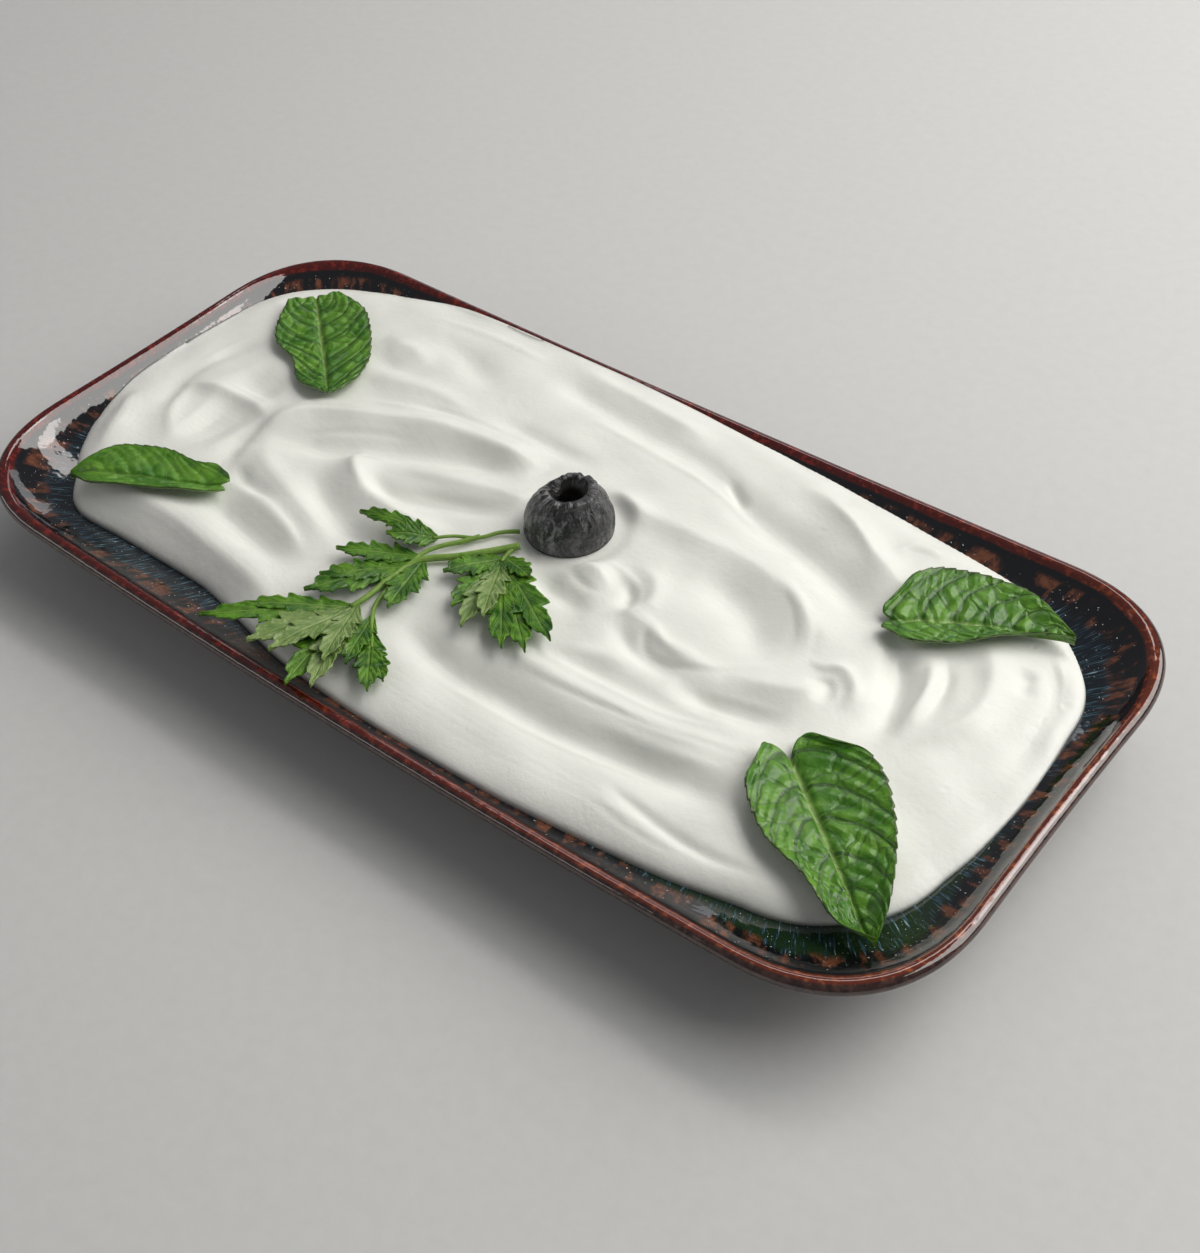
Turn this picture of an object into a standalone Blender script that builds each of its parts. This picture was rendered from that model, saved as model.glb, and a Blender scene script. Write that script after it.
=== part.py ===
"""Yogurt dip in a shallow rectangular glazed dish, topped with half an olive, mint leaves and parsley.

All sizes are in millimetres and become metres where a mesh is made.  The origin is the middle of the
foot, on the table.  +X runs along the dish, +Y to its far side and +Z up.
"""
import math

import bmesh
import bpy
import numpy as np

MM = 0.001
GAP = 0.3                    # clear space between neighbouring pieces

# dish: outline of the rim centreline
HALF_LENGTH = 125.0
HALF_WIDTH = 58.8
CORNER = 32.2
CORNER_POWER = 2.32          # 2 is a circular corner, more is squarer
BOW_LONG = 1.34              # how far the long sides bow out
BOW_SHORT = -1.41            # and the short sides in
SIDE_SHARE, CORNER_SHARE = 0.157, 0.451

# dish: section
RIM_Z = 18.4                 # rim centreline at the ends
RIM_SAG = 2.65               # how much lower it is half way along
LIP = 1.5
FLOOR_Z = 9.3
WALL_RUN = 34.0
WALL_TILT = math.radians(53.0)    # slope where the lip's round ends
LIP_SHARE, LIP_FALL = 0.2, 2.2    # share of the depth in the steep part, and how soon it ends
WALL_THICK = 4.6
FOOT_INSET = 17.0
FOOT_WIDTH = 4.0
RECESS_Z = 4.4
CORNER_STEPS, LONG_STEPS, SHORT_STEPS = 10, 6, 3

# yogurt: how far in from the rim its edge meets the dish, round the loop from the middle of the +X end
EDGE = ((0.01, 7.1), (0.10, 8.1), (0.18, 9.6), (0.28, 11.5), (0.34, 11.7), (0.42, 9.2), (0.47, 7.2),
        (0.52, 6.4), (0.65, 4.5), (0.77, 2.9), (0.89, 1.8), (1.00, 1.0), (1.12, 0.4), (1.35, 0.5),
        (1.42, 0.9), (1.47, 1.6), (1.52, 3.1), (1.60, 6.0), (1.66, 6.0), (1.72, 5.6), (1.84, 3.5),
        (1.97, 2.7), (2.06, 2.9), (2.14, 5.7), (2.20, 9.5), (2.25, 11.2), (2.31, 12.8), (2.36, 11.5),
        (2.41, 10.8), (2.47, 12.3), (2.66, 13.0), (2.73, 10.7), (2.86, 5.9), (2.99, 4.0), (3.11, 3.9),
        (3.23, 4.4), (3.36, 6.7), (3.45, 8.3), (3.55, 12.2), (3.61, 13.2), (3.68, 14.2), (3.77, 12.4),
        (3.85, 10.4), (3.90, 8.4))
MOUND_EDGE, MOUND_RISE = 15.4, 3.1
FAR_RISE = 0.9               # the far side is a little higher
LUMP = 0.2
END_DROP = 1.6               # the +X end of the mound is lower
CELL = 3.9
BLEND = 45.0

# yogurt: spoon strokes as (height, width on the left, width on the right, path seen from EYE)
EYE = (196.0, -202.8, 266.8)
SEEN_Z = 17.0
TOPPING_Z = 20.0
STROKES = (
    (-2.2, 9, 9, ((-98, -9), (-90, -8), (-84, -9))),
    (-1.2, 2.5, 3.5, ((-79, 4), (-81, -5), (-80, -13), (-75, -22))),
    (-1.4, 6, 6, ((-101, 9), (-93, 7), (-86, 7))),
    (1.9, 2.6, 2.2, ((-108, -3), (-97, 0.4), (-88, 0.6), (-80, -1.5))),
    (2.0, 5, 5, ((-120, -12), (-112, -18), (-108, -25), (-106, -34))),
    (-0.7, 2, 3, ((-104, 22), (-109, 10), (-110, -2), (-104, -16))),
    (0.8, 2, 2, ((-107, -2), (-103, -12), (-95, -20))),
    (1.0, 3, 3, ((-121, 27), (-115, 33), (-113, 38))),
    (2.4, 4, 3.5, ((-78, -10), (-79, -2), (-75, 5), (-66, 10), (-55, 15), (-45, 19), (-32, 21), (-15, 22))),
    (-2.1, 4, 4, ((-76, -6), (-68, -2), (-61, 0), (-54, 4.5), (-47, 8.5), (-38, 12.5), (-28, 16),
                  (-18, 18.5))),
    (1.2, 3.5, 3.5, ((-76, 24), (-68, 26), (-55, 28.5), (-40, 27))),
    (2.4, 3, 4.5, ((-57, 5), (-54, 1), (-49, -4), (-41, -8), (-30, -9.5), (-18, -7))),
    (1.2, 4, 2.5, ((-46, 2), (-34, 5.5), (-22, 9), (-8, 12))),
    (-2.0, 2.6, 2.6, ((-49, -3), (-40, -4.5), (-32, -2), (-24, 1.5), (-12, 6))),
    (1.5, 4, 4, ((-76, -8), (-70, -13), (-62, -16), (-50, -20), (-38, -23))),
    (-1.8, 4, 4, ((-60, -8), (-50, -14), (-40, -18), (-28, -19))),
    (-0.8, 2, 2, ((-76, -17), (-68, -20.5), (-58, -22))),
    (1.0, 1.6, 2.2, ((-71, -23), (-60, -24), (-50, -26.5), (-40, -30))),
    (-1.8, 3.5, 3.5, ((-74, -30), (-62, -31), (-50, -33), (-38, -34))),
    (2.4, 5, 5, ((-100, -40), (-85, -39), (-70, -39.5), (-55, -41.5), (-34, -44))),
    (0.4, 5, 5, ((-15, -45), (5, -46), (25, -47), (50, -46), (72, -45))),
    (1.1, 3, 3, ((-82, 38), (-73, 38.5), (-64, 36.5))),
    (-0.8, 3, 3, ((-80, 32), (-70, 31), (-60, 33))),
    (-1.1, 4, 4, ((-74, 46), (-62, 45), (-52, 41), (-44, 38))),
    (1.0, 3, 2.5, ((-35, 57), (-20, 55), (-5, 53), (10, 52))),
    (-1.2, 3.5, 3.5, ((-36, 50), (-20, 48), (-5, 45.5), (10, 45), (20, 42), (28, 38))),
    (-2.2, 4.5, 4.5, ((20, 41), (34, 36), (45, 33), (56, 30), (70, 25))),
    (-0.8, 2.5, 2.5, ((-40, 30), (-20, 29.5), (-5, 29.5))),
    (2.2, 4, 3.5, ((34, 51), (45, 48), (55, 43), (61, 39), (71, 35))),
    (-0.9, 1.3, 1.3, ((19, 44), (28, 38.5))),
    (0.8, 2, 2, ((62, 43), (65, 48), (74, 49))),
    (0.9, 2.5, 2.5, ((1, 26), (8, 23), (16, 20))),
    (1.4, 4, 4, ((2, 26), (10, 23), (25, 23), (40, 23), (52, 20), (62, 15), (67, 9))),
    (-2.2, 5, 5, ((32, 14), (42, 13), (50, 9), (55, 4), (57, -1))),
    (0.7, 1.0, 1.4, ((48, 24), (55, 19), (61, 13), (64, 6))),
    (-2.2, 3, 3.2, ((74, 24), (80, 17), (84, 9), (86, 1), (84, -6))),
    (0.9, 1.8, 2, ((84, 23), (88, 15), (89.5, 7), (89, 0))),
    (-0.7, 1.6, 1.6, ((88, 24), (91.5, 14), (92, 5))),
    (1.5, 3.5, 3, ((90, 33), (96, 25), (99, 17), (98, 8), (92, -2))),
    (-0.8, 2, 2, ((101, 30), (104, 22))),
    (-0.9, 3, 3, ((103, 36), (110, 27), (112, 15), (112, 3))),
    (1.3, 2, 2, ((66, 6), (72, 8), (77, 5), (78, -1))),
    (-0.8, 1.8, 1.8, ((68, 1), (72, 3), (73, -2))),
    (2.4, 3.5, 3.5, ((6, 2), (13, 2), (21, 1))),
    (-1.7, 3.2, 3.2, ((3, -7), (12, -7), (22, -8))),
    (-1.2, 2, 2, ((21, 3), (25, 1), (26, -4))),
    (1.0, 2.2, 2.2, ((20, 9), (27, 7), (30, 1), (27, -5))),
    (1.5, 2.0, 2.0, ((26, -3), (34, -5), (41, -6.5), (52, -6))),
    (-1.1, 1.8, 2.2, ((26, -6), (33, -10.5), (41, -12), (50, -11))),
    (1.5, 3, 3, ((54, -6), (62, -4.5), (69, -1), (75, 4))),
    (-2.0, 3, 3, ((46, -14), (56, -13.5), (64, -12), (72, -8.5))),
    (1.0, 3, 3, ((20, -20), (30, -17), (40, -14))),
    (1.8, 4, 4, ((10, -26), (25, -27), (40, -26.5), (52, -26), (62, -23.5), (69, -20))),
    (-0.7, 2.5, 2.5, ((20, -22.5), (35, -20.5), (50, -19.5), (62, -17))),
    (0.9, 2.5, 2.5, ((45, -17.5), (58, -18), (70, -15))),
    (-2.2, 3.5, 3.5, ((-8, -34), (1, -35), (10, -36.5), (22, -37), (32, -37), (42, -36), (54, -34.5), (64, -33),
                      (76, -31))),
    (-0.8, 1.3, 1.3, ((52, -42), (66, -44), (78, -44.5), (90, -42))),
    (0.7, 1.5, 1.5, ((40, -31), (55, -30), (70, -26))),
)

# olive half
OLIVE_AT = (2.2, 9.0)
OLIVE_RADIUS = 9.8
OLIVE_HEIGHT = 11.6
OLIVE_HOLE = 2.8
OLIVE_STEPS = 24
OLIVE_PAD = 12.6

# leaves: base and tip as seen from EYE, half widths on the left and right from base to tip, sideways bow
# of the midrib, how far the base lobes reach back, rise of the margins and of the tip
LEAF_THICK = 0.5
LEAF_LONG, LEAF_ACROSS = 14, 6
LEAVES = (
    ("mint_leaf_back", (-77, 14), (-109.5, 42), (3, 7, 7.5, 11, 10, 7), (5, 10, 12, 12.5, 11.5, 6),
     0, 0.0, 0.8, 0.4),
    ("mint_leaf_left", (-73.5, -24.5), (-105, -41.5), (4.5, 4.5, 5, 5, 4.6, 0.3), (6, 7, 10.3, 10.7, 9, 0.3),
     0.6, 0.06, 1.4, 0.8),
    ("mint_leaf_right", (72, 27), (104, 44), (8, 14, 13.7, 11.7, 8.5, 0.3), (6.5, 7.5, 6.6, 4.2, 1.2, 0.3),
     1.5, 0.06, 1.6, 1.0),
    ("mint_leaf_front", (76.5, -16), (112, -42), (12, 15, 13.8, 10.8, 6.3, 0.3),
     (9.5, 11.3, 10.8, 7.3, 5.2, 0.3), 0.0, 0.10, 2.4, 1.2),
)

# parsley as seen from EYE: stems as (radius, path), leaflets as (base, tip, half width, rise, 1 if its
# pale underside shows)
STEMS = (
    (0.85, ((-3.5, -1), (-7, -5.5), (-12, -11), (-18, -17), (-19.3, -24), (-19.5, -31), (-20.3, -35.5))),
    (0.55, ((-18.7, -22.5), (-17, -31), (-14.7, -35), (-11, -39), (-8, -42))),
    (0.5, ((-7, 3), (-10, 0), (-12.5, -4), (-17, -7), (-20, -10.5))),
    (0.6, ((-12.5, -3.7), (-14.5, -7), (-17.4, -11.2), (-19, -15), (-19.3, -18.5))),
    (0.6, ((-4, -1.2), (-4.2, -4), (-3.6, -7))),
)
LEAFLETS = (
    ((-19, -9.7), (-38.5, -14), 1.5, 1.0, 0), ((-19, -10), (-28.5, -16), 2.7, 1.6, 0),
    ((-19.2, -16), (-35, -25), 2.5, 1.0, 0), ((-19.3, -19), (-31, -38.5), 3.8, 1.4, 0),
    ((-19.3, -19.5), (-32, -33), 2.8, 1.0, 0), ((-20.3, -35.4), (-42.7, -57.4), 3.0, 2.6, 0),
    ((-20.2, -35), (-38, -49), 2.2, 2.0, 0), ((-20.1, -35.4), (-28.5, -57), 3.8, 2.8, 1),
    ((-20, -35.2), (-22.5, -56.5), 3.2, 3.2, 1), ((-19.9, -35), (-14.4, -60), 3.6, 1.6, 0),
    ((-19.8, -34.8), (-9, -58), 3.2, 2.4, 1), ((-19.7, -34), (-11.5, -52), 2.6, 3.0, 1),
    ((-15.2, -34.6), (-8.4, -49), 2.2, 2.0, 0), ((-12, -38), (0, -51.5), 2.5, 1.4, 0),
    ((-9, -41), (0.5, -47.5), 1.8, 1.2, 0), ((-17, -16.5), (-13, -32), 3.2, 1.0, 0),
    ((-4.1, -5.5), (-10.5, -17.5), 3.0, 1.8, 0), ((-3.9, -6), (-2.3, -24), 3.2, 1.4, 0),
    ((-3.7, -6.5), (4, -28), 2.6, 2.2, 1), ((-3.6, -7), (6.5, -24), 2.6, 3.0, 1),
    ((-3.6, -6.8), (15, -28), 3.4, 1.8, 0), ((-3.7, -6.6), (19.5, -26), 3.2, 1.2, 0),
    ((-3.8, -6), (21.5, -20.5), 3.2, 1.6, 0), ((-4, -5), (5, -7.5), 2.0, 1.0, 0),
)
LEAFLET_THICK = 0.45
LEAFLET_ROWS, LEAFLET_RAYS = 5, 2
LOBES = 0.55                 # depth of a leaflet's side lobes

COLOURS = {
    "dish": (0.020, 0.010, 0.009, 1.0),
    "yogurt": (0.88, 0.87, 0.83, 1.0),
    "mint": (0.055, 0.190, 0.022, 1.0),
    "parsley": (0.110, 0.270, 0.028, 1.0),
    "olive": (0.014, 0.014, 0.016, 1.0),
}


def material(name, colour, roughness):
    mat = bpy.data.materials.new(name)
    mat.use_nodes = True
    shader = mat.node_tree.nodes["Principled BSDF"]
    shader.inputs["Base Color"].default_value = colour
    shader.inputs["Roughness"].default_value = roughness
    mat.diffuse_color = colour
    return mat


def add_object(name, bm, home, mat):
    """Turn a bmesh in millimetres into an object in metres, faces out."""
    bmesh.ops.recalc_face_normals(bm, faces=bm.faces[:])
    for vert in bm.verts:
        vert.co *= MM
    mesh = bpy.data.meshes.new(name)
    bm.to_mesh(mesh)
    bm.free()
    obj = bpy.data.objects.new(name, mesh)
    mesh.materials.append(mat)
    home.objects.link(obj)
    return obj


def rim_point(loop, inset=0.0):
    """Plan position round the outline; loop runs 0 to 4 from the middle of the +X end, by +Y."""
    loop = np.asarray(loop, float) % 4.0
    quarter = np.floor(loop).astype(int)
    share = np.where(quarter % 2 == 0, loop - quarter, 1.0 - (loop - quarter))
    side_x = np.where((quarter == 1) | (quarter == 2), -1.0, 1.0)
    side_y = np.where(quarter >= 2, -1.0, 1.0)
    a, b = HALF_LENGTH - inset, HALF_WIDTH - inset
    r = CORNER - 0.6 * inset
    turn = 0.5 * math.pi * np.clip((share - SIDE_SHARE) / (CORNER_SHARE - SIDE_SHARE), 0, 1)
    x = a - r + r * np.cos(turn).clip(0, 1) ** (2 / CORNER_POWER)
    y = b - r + r * np.sin(turn).clip(0, 1) ** (2 / CORNER_POWER)
    y = np.where(share < SIDE_SHARE, (b - r) * share / SIDE_SHARE, y)
    x = np.where(share > CORNER_SHARE, (a - r) * (1 - share) / (1 - CORNER_SHARE), x)
    y = y * (1 + BOW_LONG / b * (1 - (x / a) ** 2))
    x = x * (1 + BOW_SHORT / a * (1 - (y / b) ** 2))
    return side_x * x, side_y * y


def rim_z(x):
    return RIM_Z - RIM_SAG * (1 - np.clip(x / HALF_LENGTH, -1, 1) ** 2)


def wall_z(inset, x):
    """Height of the inner face at an inset from the rim centreline: the lip's round top, then the slope."""
    start = LIP * math.sin(WALL_TILT)
    inset = np.asarray(inset, float)
    away = np.maximum(inset - start, 0)
    share = (1 - LIP_SHARE) * (1 - np.minimum(away / (WALL_RUN - start), 1)) ** 2
    share = share + LIP_SHARE * np.exp(-away / LIP_FALL)
    crest = rim_z(x) + LIP * math.cos(WALL_TILT)
    top = rim_z(x) + np.sqrt(LIP ** 2 - np.minimum(np.abs(inset), start) ** 2)
    return np.where(inset < start, top, FLOOR_Z + (crest - FLOOR_Z) * share)


def smooth_step(t):
    t = np.clip(t, 0, 1)
    return t * t * (3 - 2 * t)


def edge_inset(loop):
    """Inset of the yogurt's edge, a smooth closed curve through EDGE."""
    at = np.array([p[0] for p in EDGE])
    value = np.array([p[1] for p in EDGE])
    total = np.zeros_like(np.asarray(loop, float))
    for shift, weight in ((-0.04, 0.25), (-0.02, 0.5), (0.0, 1.0), (0.02, 0.5), (0.04, 0.25)):
        total = total + weight * np.interp((loop + shift) % 4.0, at, value, period=4.0)
    return total / 2.5


def true_place(x, y, z):
    """Where a point at height z is, that is seen from EYE at (x, y) on the level SEEN_Z."""
    k = (EYE[2] - z) / (EYE[2] - SEEN_Z)
    return EYE[0] + (x - EYE[0]) * k, EYE[1] + (y - EYE[1]) * k


def spline(points, steps):
    """Catmull-Rom curve through plan or space points."""
    p = np.array(points, float)
    p = np.vstack([2 * p[0] - p[1], p, 2 * p[-1] - p[-2]])
    out = []
    for i in range(1, len(p) - 2):
        t = np.linspace(0, 1, steps, endpoint=False)[:, None]
        out.append(0.5 * (2 * p[i] + (p[i + 1] - p[i - 1]) * t
                          + (2 * p[i - 1] - 5 * p[i] + 4 * p[i + 1] - p[i + 2]) * t ** 2
                          + (3 * p[i] - p[i - 1] - 3 * p[i + 1] + p[i + 2]) * t ** 3))
    out.append(p[-2:-1])
    return np.vstack(out)


def mound_z(x, y):
    """The yogurt without its strokes and edge."""
    top = MOUND_EDGE + MOUND_RISE * (1 - 0.6 * (x / 125) ** 2) * (1 - 0.65 * (y / 60) ** 2)
    top = top + FAR_RISE * smooth_step((y - 15) / 40) - END_DROP * smooth_step((x - 75) / 35)
    return top + LUMP * (np.sin(0.30 * x + 0.13 * y) * np.sin(0.26 * y - 0.07 * x + 1.0)
                         + 0.6 * np.sin(0.17 * x - 0.33 * y + 2.0))


def stroke_z(x, y):
    total = np.zeros_like(x)
    for height, left, right, path in STROKES:
        line = spline(path, 6)
        px, py = true_place(line[:, 0], line[:, 1], mound_z(line[:, 0], line[:, 1]))
        step = np.hypot(np.diff(px), np.diff(py))
        along = np.concatenate([[0], np.cumsum(step)])
        best = np.full(x.shape, 1e9)
        side = np.zeros_like(x)
        run = np.zeros_like(x)
        for i in range(len(step)):
            dx, dy = (px[i + 1] - px[i]) / step[i], (py[i + 1] - py[i]) / step[i]
            t = np.clip((x - px[i]) * dx + (y - py[i]) * dy, 0, step[i])
            ox, oy = x - px[i] - t * dx, y - py[i] - t * dy
            dist = np.hypot(ox, oy)
            near = dist < best
            best = np.where(near, dist, best)
            side = np.where(near, dx * oy - dy * ox, side)
            run = np.where(near, along[i] + t, run)
        width = np.where(side > 0, left, right) * 1.0
        ends = min(0.45 * along[-1], 13.0)
        taper = smooth_step(run / ends + 0.15) * smooth_step((along[-1] - run) / ends + 0.15)
        total += height * taper * np.exp(-(best / width) ** 2)
    return total


LOOP = np.linspace(0, 4, 721)[:-1]
EDGE_X, EDGE_Y = rim_point(LOOP, edge_inset(LOOP))
EDGE_Z = wall_z(edge_inset(LOOP), EDGE_X) + GAP
RIM_X, RIM_Y = rim_point(LOOP)


def nearest(x, y, line_x, line_y):
    """Distance to the nearest point of a closed line, and that point's number."""
    flat_x, flat_y = np.ravel(x), np.ravel(y)
    index = np.empty(flat_x.shape, int)
    for start in range(0, len(flat_x), 20000):
        part = slice(start, start + 20000)
        gap = (flat_x[part, None] - line_x) ** 2 + (flat_y[part, None] - line_y) ** 2
        index[part] = gap.argmin(1)
    dist = np.hypot(flat_x - line_x[index], flat_y - line_y[index])
    return dist.reshape(np.shape(x)), index.reshape(np.shape(x))


def yogurt_z(x, y):
    """Top of the yogurt: mound and strokes, flat under the olive, rolled down at the edge."""
    dist, index = nearest(x, y, EDGE_X, EDGE_Y)
    fade = smooth_step(dist / 7.0)
    top = mound_z(x, y) + stroke_z(x, y) * fade
    pad = np.hypot(x - OLIVE_AT[0], y - OLIVE_AT[1])
    level = float(mound_z(*OLIVE_AT)) - 0.5
    top = level + (top - level) * smooth_step((pad - OLIVE_PAD + 1.5) / 4.0)
    low = EDGE_Z[index]
    reach = 2.5 + 1.15 * np.maximum(top - low, 0)
    roll = (1 - (1 - np.clip(dist / reach, 0, 1)) ** 1.8) ** (1 / 1.8)
    return low + (top - low) * roll


def inside(x, y, line_x, line_y):
    """True inside a closed line."""
    hit = np.zeros(np.shape(x), bool)
    for i in range(len(line_x)):
        x0, y0, x1, y1 = line_x[i - 1], line_y[i - 1], line_x[i], line_y[i]
        cross = (y0 > y) != (y1 > y)
        if y1 != y0:
            hit ^= cross & (x < (x1 - x0) * (y - y0) / (y1 - y0) + x0)
    return hit


def surface_z(x, y):
    """Whatever a leaf lies on: the yogurt, or else the bare dish or its rim."""
    dist = nearest(x, y, RIM_X, RIM_Y)[0]
    glaze = np.where(dist < LIP, rim_z(x) + LIP, wall_z(dist, x))
    glaze = np.where(inside(x, y, RIM_X, RIM_Y) | (dist < LIP + 1), glaze, 0.0)
    food = inside(x, y, EDGE_X, EDGE_Y)
    return np.where(food, np.maximum(yogurt_z(x, y), glaze), glaze)


def drape_z(x, y):
    """The highest surface within a few millimetres, so that flat facets stay clear of it."""
    top = surface_z(x, y)
    for ring, count in ((2.2, 6), (4.4, 10)):
        for i in range(count):
            a = 2 * math.pi * i / count
            top = np.maximum(top, surface_z(x + ring * math.cos(a), y + ring * math.sin(a)))
    return top


def settle(low, rounds):
    """Smooth a grid of heights that never goes below the grid it starts from."""
    z = low.copy()
    for _ in range(rounds):
        wide = np.pad(z, 1, mode="edge")
        wide[0, 1:-1] = 2 * z[0] - z[1]
        wide[-1, 1:-1] = 2 * z[-1] - z[-2]
        mean = (wide[:-2, 1:-1] + wide[2:, 1:-1] + wide[1:-1, :-2] + wide[1:-1, 2:]) / 4
        z = np.maximum(low, mean)
    return z


def grid_mesh(columns, rows, place):
    """A grid whose points place(i, j) puts in millimetres; i and j are arrays of grid numbers."""
    bm = bmesh.new()
    bmesh.ops.create_grid(bm, x_segments=columns, y_segments=rows, size=1.0)
    bm.verts.ensure_lookup_table()
    i = np.array([round((v.co.x + 1) * columns / 2) for v in bm.verts])
    j = np.array([round((v.co.y + 1) * rows / 2) for v in bm.verts])
    x, y, z = place(i, j)
    for n, vert in enumerate(bm.verts):
        vert.co = (float(x[n]), float(y[n]), float(z[n]))
    return bm


def loop_steps():
    """Loop values with the corners stepped finer than the sides."""
    half = np.concatenate([np.linspace(0, SIDE_SHARE, SHORT_STEPS, endpoint=False),
                           np.linspace(SIDE_SHARE, CORNER_SHARE, CORNER_STEPS, endpoint=False),
                           np.linspace(CORNER_SHARE, 1, LONG_STEPS, endpoint=False)])
    back = 2 - np.concatenate([[1.0], half[:0:-1]])
    return np.concatenate([half, back, half + 2, back + 2])


def dish_section():
    """Inset and height rules of the dish's section, from the middle of the floor over the lip to the foot."""
    rings = [(u, "wall", 0.0) for u in (WALL_RUN, 24, 15.5, 9, 5, 2.8, LIP * math.sin(WALL_TILT))]
    for angle in (84, 132, 180, 228):
        a = math.radians(angle)
        rings.append((LIP * math.cos(a), "rim", LIP * math.sin(a)))
    for u, thick in ((2, 3.2), (5, 3.6), (10, 4.2), (15, WALL_THICK)):
        tilt = math.atan2(wall_z(u - 0.1, 125) - wall_z(u + 0.1, 125), 0.2)
        rings.append((u - thick * math.sin(tilt), "under", (u, thick * math.cos(tilt))))
    rings.append((FOOT_INSET - 0.6, "level", 5.2))
    rings.append((FOOT_INSET, "level", 0.0))
    rings.append((FOOT_INSET + FOOT_WIDTH, "level", 0.0))
    rings.append((FOOT_INSET + FOOT_WIDTH + 1.2, "level", RECESS_Z))
    return rings


def make_dish(home, mat):
    rings = dish_section()
    steps = loop_steps()

    def place(i, j):
        x, y, z = np.zeros(len(i)), np.zeros(len(i)), np.zeros(len(i))
        for n, (inset, rule, value) in enumerate(rings):
            pick = j == n
            px, py = rim_point(steps[i[pick] % len(steps)], inset)
            if rule == "wall":
                pz = wall_z(inset, px)
            elif rule == "rim":
                pz = rim_z(px) + value
            elif rule == "under":
                pz = wall_z(value[0], px) - value[1]
            else:
                pz = np.full(len(px), value)
            x[pick], y[pick], z[pick] = px, py, pz
        return x, y, z

    bm = grid_mesh(len(steps), len(rings) - 1, place)
    bmesh.ops.remove_doubles(bm, verts=bm.verts[:], dist=0.001)
    bmesh.ops.holes_fill(bm, edges=[e for e in bm.edges if e.is_boundary], sides=0)
    return add_object("dish", bm, home, mat)


def frame_spot(x, y, half_x, half_y):
    """Loop value of a grid point's frame, and its depth from the outer frame."""
    depth = np.minimum(half_x - np.abs(x), half_y - np.abs(y))
    far_x = x * half_x / np.maximum(half_x - depth, 1e-6)
    far_y = y * half_y / np.maximum(half_y - depth, 1e-6)
    share = np.where(np.abs(far_x) >= half_x - 1e-6, np.abs(far_y), half_y + half_x - np.abs(far_x))
    share = share / (half_x + half_y)
    loop = np.select([(x > 0) & (y >= 0), (x <= 0) & (y > 0), (x < 0) & (y <= 0)],
                     [share, 2 - share, 2 + share], 4 - share)
    return loop % 4.0, depth, far_x, far_y


def make_yogurt(home, mat):
    half_x, half_y = HALF_LENGTH - 3, HALF_WIDTH - 1
    nx, ny = 2 * round(half_x / CELL), 2 * round(half_y / CELL)

    def top(i, j):
        x = (2 * i / nx - 1) * half_x
        y = (2 * j / ny - 1) * half_y
        loop, depth, far_x, far_y = frame_spot(x, y, half_x, half_y)
        ex, ey = rim_point(loop, edge_inset(loop))
        pull = np.clip(1 - depth / BLEND, 0, 1) ** 2
        x, y = x + (ex - far_x) * pull, y + (ey - far_y) * pull
        z = np.where(depth < 1e-6, wall_z(edge_inset(loop), x) + GAP, yogurt_z(x, y))
        return x, y, z

    bm = grid_mesh(nx, ny, top)
    count = 2 * (nx + ny)
    walk = ([(nx, j) for j in range(ny // 2, ny)] + [(i, ny) for i in range(nx, 0, -1)]
            + [(0, j) for j in range(ny, 0, -1)] + [(i, 0) for i in range(nx)]
            + [(nx, j) for j in range(ny // 2)])
    walk = np.array(walk)
    rows = 4

    def under(i, j):
        spot = walk[i % count]
        x = (2 * spot[:, 0] / nx - 1) * half_x
        y = (2 * spot[:, 1] / ny - 1) * half_y
        loop = frame_spot(x, y, half_x, half_y)[0]
        start = edge_inset(loop)
        inset = start + (WALL_RUN - start) * (j / rows) ** 1.6
        px, py = rim_point(loop, inset + np.where(j > 0, GAP, 0.0))
        return px, py, wall_z(inset, px) + GAP

    low = grid_mesh(count, rows, under)
    mesh = bpy.data.meshes.new("under")
    low.to_mesh(mesh)
    low.free()
    bm.from_mesh(mesh)
    bpy.data.meshes.remove(mesh)
    bmesh.ops.remove_doubles(bm, verts=bm.verts[:], dist=0.01)
    bmesh.ops.holes_fill(bm, edges=[e for e in bm.edges if e.is_boundary], sides=0)
    return add_object("yogurt", bm, home, mat)


def make_olive(home, mat):
    """Half an olive, cut side down, with the pit's hole right through."""
    r, h, hole = OLIVE_RADIUS, OLIVE_HEIGHT, OLIVE_HOLE
    section = [(hole + 1.3, 0), (0.93 * r, 0), (0.99 * r, 0.06 * h), (r, 0.18 * h), (0.975 * r, 0.38 * h),
               (0.89 * r, 0.58 * h), (0.75 * r, 0.77 * h), (0.57 * r, 0.92 * h), (0.42 * r, h),
               (hole, 0.97 * h), (hole - 0.1, 0.7 * h), (hole + 0.8, 0.35 * h)]
    base = float(mound_z(*OLIVE_AT)) - 0.5 + GAP

    def place(i, j):
        points = np.array(section)[j % len(section)]
        a = 2 * math.pi * i / OLIVE_STEPS
        lift = points[:, 1] / h
        nick = np.exp(-((a - math.pi) / 0.35) ** 2) * smooth_step((lift - 0.6) / 0.4)
        x = OLIVE_AT[0] + points[:, 0] * np.cos(a) + 0.7 * lift ** 2
        y = OLIVE_AT[1] + points[:, 0] * np.sin(a)
        return x, y, base + points[:, 1] - 0.9 * nick + 0.35 * lift * np.cos(a)

    bm = grid_mesh(OLIVE_STEPS, len(section), place)
    bmesh.ops.remove_doubles(bm, verts=bm.verts[:], dist=0.001)
    return add_object("olive", bm, home, mat)


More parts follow.
